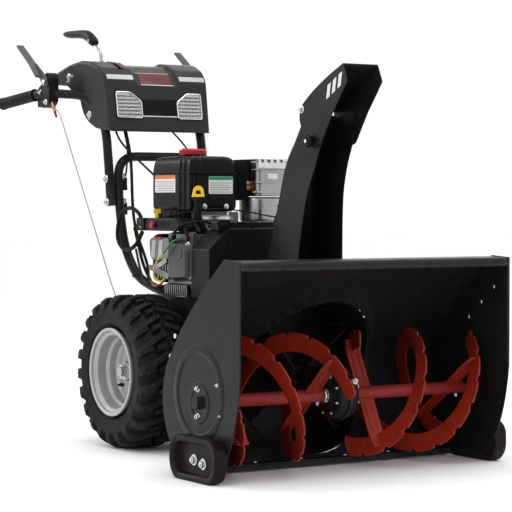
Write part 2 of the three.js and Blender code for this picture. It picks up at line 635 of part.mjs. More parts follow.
function belt(y, lowZ, lowRadius) {
  const outer = beltOutline([lowZ, lowRadius], [CRANK_Z, CRANK_PULLEY_RADIUS], BELT_THICKNESS);
  const inner = beltOutline([lowZ, lowRadius], [CRANK_Z, CRANK_PULLEY_RADIUS], 0.7);
  const range = [y - BELT_WIDTH / 2 + 0.5, y + BELT_WIDTH / 2 - 0.5];
  return cut(prism(outer, 'y', range), prism(inner, 'y', [range[0] - 1, range[1] + 1]));
}
add('auger_belt', belt(AUGER_BELT_Y, IMPELLER_Z, IMPELLER_PULLEY_RADIUS), 'rubber');
add('drive_belt', belt(DRIVE_BELT_Y, HEX_SHAFT_Z, DISC_PULLEY_RADIUS), 'rubber');
add('crank_pulley', join(
  pulley(AUGER_BELT_Y, CRANK_PULLEY_RADIUS, CRANK_Z, 18),
  pulley(DRIVE_BELT_Y, CRANK_PULLEY_RADIUS, CRANK_Z, 18),
  rod('y', [0, CRANK_Z], 12, [548, 700], 20),
  rod('y', [0, CRANK_Z], 20, [575, 590], 20),
), 'steel');

// ---------------------------------------------------------------- wheels
for (const [side, sign] of SIDES) {
  const inner = TYRE_INNER_X;
  const outer = TYRE_OUTER_X;
  const mid = (inner + outer) / 2;
  const place = (profile) => {
    const ordered = profile.map(([radius, x]) => [radius, sign * x]);
    return turned(ordered, 'x', [AXLE_Y, AXLE_Z], 26);
  };
  add(`tyre_${side}`, place([
    [104.5, inner + 20], [112, inner + 6], [130, inner], [165, inner + 1], [190, inner + 8],
    [200, inner + 22], [TYRE_RADIUS, mid], [200, outer - 22], [190, outer - 8], [165, outer - 1],
    [130, outer], [118, outer - 6], [104.5, outer - 20], [104.5, outer - 34], [130, outer - 12],
    [165, outer - 13], [184, outer - 26], [184, inner + 26], [165, inner + 13], [130, inner + 12],
    [104.5, inner + 34],
  ]), 'rubber');
  add(`rim_${side}`, place([
    [AXLE_RADIUS + 0.4, mid - 26], [22, mid - 26], [22, mid - 8], [66, mid - 8], [74, mid + 4],
    [96, mid + 4], [96, inner + 12], [111, inner + 3], [104.1, inner + 18],
    [104.1, outer - 18], [RIM_RADIUS, outer - 5.5], [114, outer - 1.5],
    [100, outer - 14], [99, mid + 9], [70, mid + 9], [62, mid - 3], [22, mid - 3], [22, mid + 34],
    [AXLE_RADIUS + 0.4, mid + 34],
  ]), 'silverPaint');
}

// ---------------------------------------------------------------- engine
const [COVER_FRONT_Y, COVER_REAR_Y] = [530, 619.5];
const beltCoverOutline = (inset) => {
  const foot = inset ? 390 : 402;
  const [wide, top] = [156 - inset, 581 - inset];
  const drawIn = inset / 2;
  const side = [[wide, foot], [wide, 528 - drawIn], [124 - drawIn, 560 - inset], [100 - drawIn, top]];
  return [...side, ...side.map(([x, z]) => [-x, z]).reverse()];
};
add('belt_cover', cut(
  prism(beltCoverOutline(0), 'y', [COVER_FRONT_Y, COVER_REAR_Y]),
  prism(beltCoverOutline(PLATE), 'y', [COVER_FRONT_Y + PLATE, COVER_REAR_Y + 20]),
), 'blackPlastic');

// The crankcase, the cylinder with its cooling fins, and the posts of the tank and the muffler.
const DIPSTICK_AXIS = [-109, 668];
const FIN_PITCH = 9;
const FIN_GROOVE = 4;
const finGrooves = Array.from({ length: 6 }, (_, i) => {
  const across = [-142 + i * FIN_PITCH, -142 + i * FIN_PITCH + FIN_GROOVE];
  return join(
    box(across, [620, 638], [420, 570]),
    box(across, [740, 760], [420, 570]),
    box(across, [620, 760], [425, 438]),
  );
});
const crankcase = prism([
  [-85, DECK_Z + TOUCH_GAP], [85, DECK_Z + TOUCH_GAP], [85, 560], [70, 575], [-70, 575], [-85, 560],
], 'y', [636, 786]);
const cylinder = box([-150, -80], [632, 746], [432, 566]);
const headFlange = prism([[-150, 428], [-136, 420], [-136, 572], [-150, 566]], 'y', [630, 750]);
const tankPosts = [[706, 716], [770, 780]].map((along) => box([-100, 40], along, [560, 624.6]));
const mufflerPosts = [[660, 676], [740, 752]].map((along) => box([60, 120], along, [540, 598]));
const oilTube = tube([
  [...DIPSTICK_AXIS, 664], [...DIPSTICK_AXIS, 612], [-82, 672, 566], [-40, 674, 540],
], 8, { bend: 24, sides: 10 });
add('engine_block', cut(
  join(crankcase, cylinder, headFlange, ...tankPosts, ...mufflerPosts, oilTube),
  ...finGrooves,
  rod('y', [0, CRANK_Z], 13, [620, 706], 20),
  rod('z', DIPSTICK_AXIS, 4.5, [618, 690], 10),
), 'castGrey');
const valveCoverOutline = [
  [624, 446], [716, 440], [730, 452], [730, 540], [716, 552], [640, 552], [622, 534],
];
add('valve_cover', prism(valveCoverOutline, 'x', [-169, -150.3]), 'castGrey');

const FILLER = [-52, 790];
const TANK_WALL = 6;
const TANK_Y = [680, 893];
const tankOutline = (inset) => [
  [-125 + inset, 625 + inset], [25 - inset, 625 + inset], [25 - inset, 752], [10 - inset / 2, 772 - inset],
  [-106 + inset / 2, 772 - inset], [-125 + inset, 750],
];
const fillerNeck = rod('z', FILLER, 26, [764, 775], 24);
add('fuel_tank', cut(
  join(prism(tankOutline(0), 'y', TANK_Y), fillerNeck),
  prism(tankOutline(TANK_WALL), 'y', [TANK_Y[0] + TANK_WALL, TANK_Y[1] - TANK_WALL]),
  rod('z', FILLER, 21, [750, 780], 24),
), 'blackPlastic');
const capTop = rod('z', FILLER, 38, [776, 794], 14);
add('fuel_cap', join(capTop, rod('z', FILLER, 20, [764, 777], 20)), 'redPlastic');

const mufflerCan = join(box([62, 172], [648, 758], [664, 765]), box([54, 166], [654, 752], [598.3, 665]));
add('muffler', cut(
  mufflerCan,
  box([64.5, 169.5], [650.5, 755.5], [640, 762.5]),
  box([57, 163], [657, 749], [601.5, 650]),
  rod('x', [676, 630], 11, [150, 180], 16),
), 'mufflerSteel');

// ---------------------------------------------------------------- starter and small controls
const STARTER_ROPE = [56, 540];
const ringProfile = [[0, 790], [96, 790], [104, 798], [104, 846], [88, 864], [0, 868]];
const recoilRing = turned(ringProfile, 'y', [0, CRANK_Z], 32);
const recoilBulge = prism([[-150, 436], [-60, 436], [-60, 566], [-130, 566], [-150, 550]], 'y', [792, 846]);
add('recoil_housing', cut(
  join(recoilRing, recoilBulge),
  rod('y', [0, CRANK_Z], 84, [784, 850], 32),
  rod('y', STARTER_ROPE, 7, [840, 900], 12),
  box([-160, 160], [780, 880], [370, DECK_Z + 2 * TOUCH_GAP]),
), 'blackPlastic');
add('recoil_handle', join(
  rod('y', STARTER_ROPE, 3, [838, 884], 8),
  rod('y', STARTER_ROPE, 9, [874, 888], 12),
  box([26, 86], [882, 896], [531, 549]),
), 'blackPlastic');

// The carburetor cover carries the start button and the key, the switch box behind it the choke knob.
const CHOKE = [-141, 590];
const BUTTON = [797, 590];
const KEY = [-150, 812];
const carburetorOutline = [[-168, 574], [-118, 574], [-118, 604], [-127, 608], [-160, 608], [-168, 600]];
add('carburetor_cover', cut(
  prism(carburetorOutline, 'y', [664, 846]),
  box([-164, -110], [670, 842], [578, 604]),
  rod('x', BUTTON, 5.4, [-172, -160], 14),
  rod('z', KEY, 4.4, [600, 612], 12),
), 'blackPlastic');
add('start_button', join(
  rod('x', BUTTON, 5, [-175, -156], 14),
  rod('x', BUTTON, 10, [-178, -172], 16),
), 'redPlastic');
add('ignition_key', join(
  rod('z', KEY, 4, [590, 624], 12),
  box([KEY[0] - 11, KEY[0] + 11], [KEY[1] - 2, KEY[1] + 2], [620, 632]),
), 'yellowPlastic');
add('switch_box', cut(
  box([-170, -122], [850, 890], [574, 608]),
  box([-166, -118], [854, 886], [578, 604]),
  rod('y', CHOKE, 4.5, [880, 896], 12),
), 'blackPlastic');
add('choke_knob', join(
  rod('y', CHOKE, 4, [874, 894], 10),
  rod('y', CHOKE, 12, [893, 908], 12),
), 'blackPlastic');

const dipstickTab = [[-121, 668], [-97, 668], [-98, 684], [-104, 694], [-114, 694], [-120, 684]];
add('dipstick', join(
  rod('z', DIPSTICK_AXIS, 4, [622, 668], 10),
  rod('z', DIPSTICK_AXIS, 12, [664.4, 670], 12),
  cut(prism(dipstickTab, 'y', [665, 671]), rod('y', [-109, 681], 6, [660, 676], 10)),
), 'yellowPlastic');

// ---------------------------------------------------------------- handlebars
const tubeOnDeck = DECK_Z + TUBE_RADIUS + TOUCH_GAP;
const lowerRun = (sign) => [
  [sign * 107, 650, tubeOnDeck],
  [sign * 107, 890, tubeOnDeck],
  [sign * 121, 975, 445],
  [sign * LOWER_TUBE_X, 1040, 524],
  [sign * LOWER_TUBE_X, 1072, 640],
  [sign * LOWER_TUBE_X, 1080, 778],
];
add('lower_handle', tube([...lowerRun(-1), ...lowerRun(1).reverse()], TUBE_RADIUS), 'blackPaint');

const gripPoint = (sign) => [sign * GRIP_START[0], GRIP_START[1], GRIP_START[2]];
const upperEnd = (sign) => [sign * GRIP_END_X, GRIP_END_Y, GRIP_END_Z];
const upperRun = (sign, grow = 0) => tube([
  [sign * UPPER_TUBE_X, 1070, 640],
  [sign * UPPER_TUBE_X, 1080, 738],
  [sign * UPPER_TUBE_X, 1096, 842],
  [sign * UPPER_TUBE_X, 1130, 905],
  [sign * 172, 1190, 952],
  [sign * 222, 1245, 957],
  gripPoint(sign),
  upperEnd(sign),
], TUBE_RADIUS + grow, { bend: 36 });

function gripRun(sign, radius, start, end) {
  const from = new THREE.Vector3(...gripPoint(sign));
  const to = new THREE.Vector3(...upperEnd(sign));
  const line = new THREE.LineCurve3(from.clone().lerp(to, start), from.clone().lerp(to, end));
  const section = new THREE.Shape(circle(0, 0, radius, 20).map(([a, b]) => new THREE.Vector2(a, b)));
  return solid(new THREE.ExtrudeGeometry(section, { steps: 1, extrudePath: line, bevelEnabled: false }));
}

const bracketOutline = [
  [1254, 936], [1251, 1000], [1256, 1012], [1268, 1017], [1280, 1012], [1286, 1000], [1298, 986],
  [1320, 976], [1327, 950], [1324, 922], [1286, 918], [1264, 926],
];
const stripOutline = [
  [1299, 1004], [1340, 1040], [1352, 1050], [1420, 1097], [1424, 1103], [1418, 1104], [1348, 1057],
  [1334, 1047], [1294, 1010],
];
const webOutline = [
  [1258, 980], [1280, 978], [1308, 1006], [1340, 1042], [1332, 1048], [1284, 1018], [1260, 1002],
];
for (const [side, sign] of SIDES) {
  add(`upper_handle_${side}`, upperRun(sign), 'blackPaint');
  const sleeve = gripRun(sign, GRIP_RADIUS, 0.2, 1.0);
  add(`grip_${side}`, cut(sleeve, gripRun(sign, TUBE_RADIUS + 0.7, 0.0, 1.02)), 'rubber');

  const pivotHole = rod('x', LEVER_PIVOT, LEVER_PIN_RADIUS + 0.6, sided(sign, 200, 290), 12);
  const bracket = prism(bracketOutline, 'x', sided(sign, ...BRACKET_X));
  add(`lever_bracket_${side}`, cut(bracket, upperRun(sign, 0.4), pivotHole), 'blackPlastic');

  const strip = prism(stripOutline, 'x', sided(sign, BRACKET_X[1] + 0.4, BRACKET_X[1] + 27));
  const web = prism(webOutline, 'x', sided(sign, BRACKET_X[1] + 0.4, BRACKET_X[1] + 5));
  const pin = rod('x', LEVER_PIVOT, LEVER_PIN_RADIUS, sided(sign, BRACKET_X[0] - 2, BRACKET_X[1] + 11), 12);
  add(`${LEVER_OF[side]}_lever`, join(strip, web, pin), 'silverPaint');

  const cable = tube([
    [sign * 238, 1262, 921],
    [sign * 235, 1222, 904],
    [sign * 170, 1028, 415],
    [sign * 152, 1006, 345],
    [sign * 150, 1004, 313],
  ], 2.5, { bend: 20, perBend: 2, sides: 6 });
  add(`${LEVER_OF[side]}_cable`, cable, 'steel');
}

// ---------------------------------------------------------------- dash
const dashProfile = [
  [1055, 848], [1079, 990], [1088, 1007], [1110, 1026], [1156, 1044], [1204, 1050], [1264, 1041],
  [1326, 1022], [1334, 1012], [1334, 996], [1326, 989], [1274, 984], [1243, 963], [1208, 945],
  [1196, 912], [1186, 894], [1164, 873], [1130, 856], [1085, 850],
];
const dashPlan = [[-159, 1040], [159, 1040], [196, 1345], [-196, 1345]];
const dashRoomProfile = [
  [1059.5, 840], [1083, 988], [1091, 1003], [1112, 1022], [1157, 1040], [1204, 1046], [1263, 1037],
  [1323, 1018], [1329.5, 1010], [1329.5, 980], [1262, 930], [1200, 870], [1140, 820],
];
const dashRoomPlan = [[-155, 1040], [155, 1040], [191.5, 1341], [-191.5, 1341]];
const dashHeights = [800, 1100];
const beyondDash = [-200, 200];
const gateSlot = box(SPEED_SLOT_X, [1108, 1240], [1000, 1060]);
const dashOuter = prism(dashProfile, 'x', beyondDash).intersect(prism(dashPlan, 'z', dashHeights));
const dashRoom = prism(dashRoomProfile, 'x', beyondDash).intersect(prism(dashRoomPlan, 'z', dashHeights));
const pivotTabs = [[-112, -110], [-90, -88]].map((across) => box(across, [1190, 1228], [900, 1045]));
const pivotTab = cut(join(...pivotTabs), rod('x', SPEED_PIVOT, SPEED_PIN_RADIUS + 0.5, [-120, -80], 12));
const dashShell = join(cut(dashOuter, dashRoom, gateSlot), pivotTab);
add('dash_panel', cut(dashShell, upperRun(1, 0.8), upperRun(-1, 0.8)), 'blackPlastic');

const [[faceBottomY, faceBottomZ], [faceTopY, faceTopZ]] = dashProfile;
const faceLean = (faceTopY - faceBottomY) / (faceTopZ - faceBottomZ);
const faceY = (z) => faceBottomY + (z - faceBottomZ) * faceLean;
const LAMP_DEPTH = 9;
for (const [side, sign] of SIDES) {
  add(`headlight_${side}`, prism([
    [faceY(880) - TOUCH_GAP, 880], [faceY(957) - TOUCH_GAP, 957],
    [faceY(957) - LAMP_DEPTH, 955], [faceY(880) - LAMP_DEPTH, 884],
  ], 'x', sided(sign, 58, 135)), 'lens');
}

const speedRod = tube([
  [SPEED_LEVER_X, SPEED_PIVOT[0], 900],
  [SPEED_LEVER_X, 1224, 1050],
  [SPEED_LEVER_X, 1227, 1076],
  [SPEED_LEVER_X, 1264, 1100],
  [SPEED_LEVER_X, 1285, 1116],
], 5, { bend: 16, perBend: 2, sides: 8 });
const speedGrip = prism([
  [1256, 1110], [1262, 1126], [1282, 1142], [1302, 1148], [1356, 1152], [1440, 1154], [1450, 1148],
  [1446, 1137], [1434, 1131], [1370, 1125], [1322, 1120], [1300, 1109], [1284, 1099], [1268, 1097],
], 'x', [SPEED_LEVER_X - 15, SPEED_LEVER_X + 15]);
const speedPin = rod('x', SPEED_PIVOT, SPEED_PIN_RADIUS, [-118, -82], 12);
const speedBoss = rod('x', SPEED_PIVOT, 9, SPEED_SLOT_X, 16);
add('speed_lever', join(speedRod, speedPin, speedBoss, speedGrip), 'blackPlastic');

const harness = tube([
  [-100, 1088, 870],
  [-98, 1054, 770],
  [-97, 1036, 600],
  [-97, 962, 480],
  [-135, 880, 432],
  [-136, 800, 426],
  [-128, 752, 442],
], 4, { bend: 40, perBend: 2, sides: 6 });
add('wiring_harness', harness, 'rubber');

export default machine;
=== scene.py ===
"""Two stage snowblower: detailed pieces, materials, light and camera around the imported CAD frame."""
import json
import math

import bmesh
import bpy
from mathutils import Matrix, Vector


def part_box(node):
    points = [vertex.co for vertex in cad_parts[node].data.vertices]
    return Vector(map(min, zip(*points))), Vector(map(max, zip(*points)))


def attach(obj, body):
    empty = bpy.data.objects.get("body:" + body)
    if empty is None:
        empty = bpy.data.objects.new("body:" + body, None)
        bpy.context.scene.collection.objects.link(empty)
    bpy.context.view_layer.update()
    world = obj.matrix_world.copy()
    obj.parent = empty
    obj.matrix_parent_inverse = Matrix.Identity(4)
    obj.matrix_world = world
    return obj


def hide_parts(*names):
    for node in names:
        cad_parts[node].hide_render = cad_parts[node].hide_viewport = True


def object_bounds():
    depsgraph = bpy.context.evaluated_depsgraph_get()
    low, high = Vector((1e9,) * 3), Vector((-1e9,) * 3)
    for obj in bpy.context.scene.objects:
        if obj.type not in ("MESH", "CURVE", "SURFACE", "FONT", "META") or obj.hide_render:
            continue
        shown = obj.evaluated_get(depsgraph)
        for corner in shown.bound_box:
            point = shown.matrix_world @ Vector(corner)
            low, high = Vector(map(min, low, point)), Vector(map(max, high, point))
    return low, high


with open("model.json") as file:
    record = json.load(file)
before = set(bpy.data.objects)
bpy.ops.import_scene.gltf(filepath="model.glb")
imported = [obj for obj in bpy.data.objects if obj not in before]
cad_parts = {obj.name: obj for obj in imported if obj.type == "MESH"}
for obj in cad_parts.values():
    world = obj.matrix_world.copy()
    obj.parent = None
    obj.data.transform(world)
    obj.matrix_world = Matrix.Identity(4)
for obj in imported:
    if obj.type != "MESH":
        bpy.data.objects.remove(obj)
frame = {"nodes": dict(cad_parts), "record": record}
cad_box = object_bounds()

# Pieces are drawn in millimetres: x = 0 mid machine, y = 0 at the intake's front edge, z = 0 the ground.
MM = 0.001
FRONT_Y = cad_box[0][1]
TO_ROW = Matrix.Translation((0, FRONT_Y, 0)) @ Matrix.Scale(MM, 4)
TO_MM = TO_ROW.inverted()
SIDES = (("left", 1), ("right", -1))


def node_box(node):
    """A CAD node's lowest and highest corner in millimetres."""
    low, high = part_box(node)
    return TO_MM @ Vector(low), TO_MM @ Vector(high)


def joint_at(name):
    """A hinge's place in millimetres."""
    joint = next(j for j in frame["record"]["behaviour"]["joints"] if j["name"] == name)
    return TO_MM @ Vector(joint["pos_m"])


AUGER = joint_at("auger_spin")
IMPELLER = joint_at("impeller_spin")
AXLE = joint_at("axle_spin")
CHUTE = joint_at("chute_rotate")
PINION = joint_at("chute_pinion_spin")
TILT = joint_at("deflector_tilt")
KNOB = joint_at("deflector_knob_turn")

# Where each turning axis crosses the plane across it.
AUGER_LINE = (AUGER.y, AUGER.z)
IMPELLER_LINE = (0, IMPELLER.z)
AXLE_LINE = (AXLE.y, AXLE.z)
CHUTE_LINE = (CHUTE.x, CHUTE.y)
KNOB_LINE = (KNOB.y, KNOB.z)
CRANK_LINE = (0, 490)


# ---------------------------------------------------------------- shapes
def place(axis, a, b, h):
    """A point from two coordinates in the plane across an axis and one along it."""
    return {"x": (h, a, b), "y": (a, h, b), "z": (a, b, h)}[axis]


def scaled(outline, axis, level, centre, scale):
    """An outline drawn larger or smaller about a centre, at a level along an axis."""
    return [place(axis, centre[0] + (a - centre[0]) * scale, centre[1] + (b - centre[1]) * scale, level)
            for a, b in outline]


def arc(a, b, radius, start, end, steps):
    """Points on an arc, in degrees."""
    angles = [math.radians(start + (end - start) * i / steps) for i in range(steps + 1)]
    return [(a + radius * math.cos(t), b + radius * math.sin(t)) for t in angles]


def rounded(outline, radius, steps=4, keep=()):
    """The same outline with its corners rounded."""
    result = []
    count = len(outline)
    for i, point in enumerate(outline):
        corner = Vector(point)
        before = Vector(outline[i - 1]) - corner
        after = Vector(outline[(i + 1) % count]) - corner
        if i in keep:
            result.append(tuple(corner))
            continue
        reach = min(radius, before.length * 0.45, after.length * 0.45)
        enter = corner + before.normalized() * reach
        leave = corner + after.normalized() * reach
        for k in range(steps + 1):
            t = k / steps
            result.append(tuple(enter * (1 - t) ** 2 + corner * 2 * t * (1 - t) + leave * t ** 2))
    return result


def bent(points, bend, steps=6):
    """Straight runs joined by round bends."""
    knots = [Vector(p) for p in points]
    path = [knots[0]]
    for before, corner, after in zip(knots, knots[1:], knots[2:]):
        back, on = before - corner, after - corner
        reach = min(bend, back.length * 0.45, on.length * 0.45)
        enter = corner + back.normalized() * reach
        leave = corner + on.normalized() * reach
        for k in range(steps + 1):
            t = k / steps
            path.append(enter * (1 - t) ** 2 + corner * 2 * t * (1 - t) + leave * t ** 2)
    path.append(knots[-1])
    return path


def smooth_path(points, per_span=8):
    """A Catmull-Rom curve through the points."""
    knots = [Vector(p) for p in points]
    ends = [knots[0] * 2 - knots[1]] + knots + [knots[-1] * 2 - knots[-2]]
    path = []
    for a, b, c, d in zip(ends, ends[1:], ends[2:], ends[3:]):
        for k in range(per_span):
            t = k / per_span
            path.append(0.5 * (2 * b + (c - a) * t + (2 * a - 5 * b + 4 * c - d) * t ** 2
                               + (3 * b - a - 3 * c + d) * t ** 3))
    path.append(knots[-1])
    return path


class Shape:
    """A mesh in the making, in millimetres."""

    def __init__(self):
        self.bm = bmesh.new()

    def skin(self, points, faces):
        """Faces over given points."""
        made = [self.bm.verts.new(p) for p in points]
        for face in faces:
            self.bm.faces.new([made[i] for i in face])
        return made

    def prism(self, outline, axis, span):
        """A flat outline extruded between two heights along an axis."""
        count = len(outline)
        points = [place(axis, a, b, h) for h in span for a, b in outline]
        sides = [(i, (i + 1) % count, count + (i + 1) % count, count + i) for i in range(count)]
        self.skin(points, [tuple(range(count))[::-1], tuple(range(count, 2 * count))] + sides)
        return self

    def box(self, xs, ys, zs):
        """A plain box between two corners."""
        return self.prism([(xs[0], ys[0]), (xs[1], ys[0]), (xs[1], ys[1]), (xs[0], ys[1])], "z", zs)

    def lathe(self, profile, axis, centre, segments=64, closed=False):
        """A profile of (radius, height) turned about an axis. Closed profiles make rings."""
        rings = []
        for radius, height in profile:
            if radius < 1e-6:
                rings.append([self.bm.verts.new(place(axis, centre[0], centre[1], height))])
                continue
            rings.append([self.bm.verts.new(place(axis, a, b, height))
                          for a, b in arc(*centre, radius, 0, 360, segments)[:-1]])
        pairs = list(zip(rings, rings[1:]))
        if closed:
            pairs.append((rings[-1], rings[0]))
        for low, high in pairs:
            for i in range(segments):
                j = (i + 1) % segments
                if len(low) == 1 and len(high) == 1:
                    break
                if len(low) == 1:
                    self.bm.faces.new((low[0], high[j], high[i]))
                elif len(high) == 1:
                    self.bm.faces.new((low[i], low[j], high[0]))
                else:
                    self.bm.faces.new((low[i], low[j], high[j], high[i]))
        if not closed:
            for ring in (rings[0], rings[-1]):
                if len(ring) > 1:
                    self.bm.faces.new(ring)
        return self

    def loft(self, sections, closed_ends=True, loop=True):
        """Quads between rows of points."""
        rows = [[self.bm.verts.new(p) for p in row] for row in sections]
        count = len(rows[0])
        for low, high in zip(rows, rows[1:]):
            for i in range(count if loop else count - 1):
                j = (i + 1) % count
                self.bm.faces.new((low[i], low[j], high[j], high[i]))
        if closed_ends and loop:
            self.bm.faces.new(rows[0][::-1])
            self.bm.faces.new(rows[-1])
        return self

    def tube(self, path, radius, sides=16):
        """A round bar along a path; the radius is a number or a list, one for each point."""
        path = [Vector(p) for p in path]
        path = [p for i, p in enumerate(path) if i == 0 or (p - path[i - 1]).length > 1e-4]
        radii = radius if isinstance(radius, (list, tuple)) else [radius] * len(path)
        tangent = (path[1] - path[0]).normalized()
        normal = tangent.orthogonal().normalized()
        sections = []
        for i, point in enumerate(path):
            ahead = path[min(i + 1, len(path) - 1)] - path[max(i - 1, 0)]
            turn = tangent.rotation_difference(ahead.normalized())
            normal = (turn @ normal).normalized()
            tangent = ahead.normalized()
            across = tangent.cross(normal)
            angles = [2 * math.pi * k / sides for k in range(sides)]
            sections.append([point + (normal * math.cos(t) + across * math.sin(t)) * radii[i]
                             for t in angles])
        return self.loft(sections)

    def turned_at(self, profile, at, direction, segments=24):
        """A lathe along any direction; heights are measured from a point."""
        inner = Shape().lathe(profile, "z", (0, 0), segments)
        return self.take(inner, Matrix.Translation(at) @ facing(direction))

    def bolt(self, at, direction, flats=13, washer=11, head=6):
        """A hex head with a rounded top on a flange washer."""
        hexagon = [(flats / math.sqrt(3) * math.cos(math.radians(60 * k + 10)),
                    flats / math.sqrt(3) * math.sin(math.radians(60 * k + 10))) for k in range(6)]
        inner = Shape().lathe([(0, 0), (washer, 0), (washer - 0.6, 1.6), (flats * 0.5, 2.4), (0, 2.4)], "z",
                              (0, 0), 28)
        inner.prism(hexagon, "z", (1.4, head))
        inner.lathe([(0, head - 0.4), (flats * 0.46, head - 0.4), (flats * 0.4, head + 0.7),
                     (0, head + 0.9)],
                    "z", (0, 0), 20)
        inner.lathe([(0, head), (flats * 0.26, head), (flats * 0.26, head + 3), (flats * 0.2, head + 3.6),
                     (0, head + 3.6)], "z", (0, 0), 14)
        return self.take(inner, Matrix.Translation(at) @ facing(direction))

    def dome(self, at, direction, radius=7, height=3.2):
        """A round carriage-bolt head."""
        steps = 6
        profile = [(radius * math.cos(math.radians(90 * k / steps)),
                    height * math.sin(math.radians(90 * k / steps)))
                   for k in range(steps)]
        return self.turned_at([(0, -0.5), (radius, -0.5)] + profile + [(0, height)], at, direction, 20)

    def mirrored(self, sign):
        """The same shape on the other side of the machine when the sign is negative."""
        if sign < 0:
            for v in self.bm.verts:
                v.co.x *= -1
        return self

    def cut(self, tool):
        """Takes another closed shape out of this one."""
        solids = []
        for shape in (self, tool):
            bmesh.ops.recalc_face_normals(shape.bm, faces=shape.bm.faces)
            mesh = bpy.data.meshes.new("scratch")
            shape.bm.to_mesh(mesh)
            shape.bm.free()
            solid = bpy.data.objects.new("scratch", mesh)
            bpy.context.scene.collection.objects.link(solid)
            solids.append(solid)
        opening = solids[0].modifiers.new("opening", "BOOLEAN")
        opening.object = solids[1]
        opening.solver = "EXACT"
        bpy.context.view_layer.update()
        graph = bpy.context.evaluated_depsgraph_get()
        result = bpy.data.meshes.new_from_object(solids[0].evaluated_get(graph))
        self.bm = bmesh.new()
        self.bm.from_mesh(result)
        bpy.data.meshes.remove(result)
        for solid in solids:
            bpy.data.meshes.remove(solid.data)
        return self

    def take(self, other, matrix=Matrix()):
        """Moves another shape in here."""
        mesh = bpy.data.meshes.new("scratch")
        other.bm.to_mesh(mesh)
        other.bm.free()
        mesh.transform(matrix)
        self.bm.from_mesh(mesh)
        bpy.data.meshes.remove(mesh)
        return self

    def piece(self, name, look, body, replaces=(), bevel=0.0, segments=2, sharp=35, thickness=0.0,
              offset=-1.0):
        """The finished object, riding on a CAD body."""
        bmesh.ops.recalc_face_normals(self.bm, faces=self.bm.faces)
        mesh = bpy.data.meshes.new(name)
        self.bm.to_mesh(mesh)
        self.bm.free()
        mesh.transform(TO_ROW)
        mesh.shade_smooth()
        mesh.set_sharp_from_angle(angle=math.radians(sharp))
        obj = bpy.data.objects.new(name, mesh)
        bpy.context.scene.collection.objects.link(obj)
        mesh.materials.append(look[0])
        if thickness:
            shell = obj.modifiers.new("thickness", "SOLIDIFY")
            shell.thickness = thickness * MM
            shell.offset = offset
            shell.use_even_offset = True
        if bevel:
            edge = obj.modifiers.new("edges", "BEVEL")
            edge.width = bevel * MM
            edge.segments = segments
            edge.limit_method = "ANGLE"
            edge.angle_limit = math.radians(sharp - 5)
            obj.modifiers.new("shading", "WEIGHTED_NORMAL").keep_sharp = True
        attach(obj, body)
        if replaces:
            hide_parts(*replaces)
        return obj


BODY_OF = {node: body for body, nodes in frame["record"]["behaviour"]["bodies"].items() for node in nodes}


def refined(node, look, bevel=0.8, segments=2, sharp=35):
    """A CAD node drawn again with rounded edges."""
    source = frame["nodes"][node]
    mesh = source.data.copy()
    mesh.transform(TO_MM @ source.matrix_world)
    shape = Shape()
    shape.bm.from_mesh(mesh)
    bpy.data.meshes.remove(mesh)
    bmesh.ops.remove_doubles(shape.bm, verts=shape.bm.verts, dist=0.01)
    bmesh.ops.dissolve_limit(shape.bm, angle_limit=math.radians(1.0), verts=shape.bm.verts,
                             edges=shape.bm.edges)
    return shape.piece(f"{node}_finished", look, BODY_OF[node], [node], bevel=bevel, segments=segments,
                       sharp=sharp)


def facing(direction):
    """Turns +Z to a direction."""
    return Vector((0, 0, 1)).rotation_difference(Vector(direction).normalized()).to_matrix().to_4x4()


# ---------------------------------------------------------------- materials
class Nodes:
    """A material's node tree, built call by call."""

    def __init__(self, name):
        self.material = bpy.data.materials.new(name)
        self.material.use_nodes = True
        self.tree = self.material.node_tree
        self.shader = self.tree.nodes["Principled BSDF"]
        self.place = self.add("ShaderNodeTexCoord").outputs["Object"]

    def add(self, kind, **inputs):
        """A new node with its inputs set or linked."""
        node = self.tree.nodes.new(kind)
        for key, value in inputs.items():
            self.feed(node.inputs[key.replace("_", " ")], value)
        return node

    def feed(self, socket, value):
        """Links a socket or sets its value."""
        if isinstance(value, bpy.types.NodeSocket):
            self.tree.links.new(value, socket)
        else:
            socket.default_value = value

    def noise(self, scale, detail=4.0, stretch=None, rough=0.55):
        """A noise pattern, stretched where asked."""
        spot = self.place
        if stretch:
            mapping = self.add("ShaderNodeMapping", Vector=self.place)
            mapping.inputs["Scale"].default_value = stretch
            spot = mapping.outputs["Vector"]
        node = self.add("ShaderNodeTexNoise", Vector=spot, Scale=scale, Detail=detail, Roughness=rough)
        return node.outputs["Fac"]

    def between(self, value, low, high, to_low, to_high):
        """A value mapped from one range to another."""
        node = self.add("ShaderNodeMapRange", Value=value, From_Min=low, From_Max=high, To_Min=to_low,
                        To_Max=to_high)
        return node.outputs["Result"]

    def mix(self, factor, first, second):
        """Two colours mixed."""
        node = self.add("ShaderNodeMix")
        node.data_type = "RGBA"
        self.feed(node.inputs[0], factor)
        self.feed(node.inputs[6], first)
        self.feed(node.inputs[7], second)
        return node.outputs[2]

    def bump(self, height, strength, distance, normal=None):
        """A bump normal from a height."""
        node = self.add("ShaderNodeBump", Height=height, Strength=strength, Distance=distance)
        if normal:
            self.feed(node.inputs["Normal"], normal)
        return node.outputs["Normal"]

    def math(self, kind, first, second=0.0):
        node = self.add("ShaderNodeMath")
        node.operation = kind
        self.feed(node.inputs[0], first)
        self.feed(node.inputs[1], second)
        return node.outputs[0]


def shade(colour, factor):
    """A colour made lighter or darker."""
    return tuple(min(1.0, c * factor) for c in colour[:3]) + (1.0,)


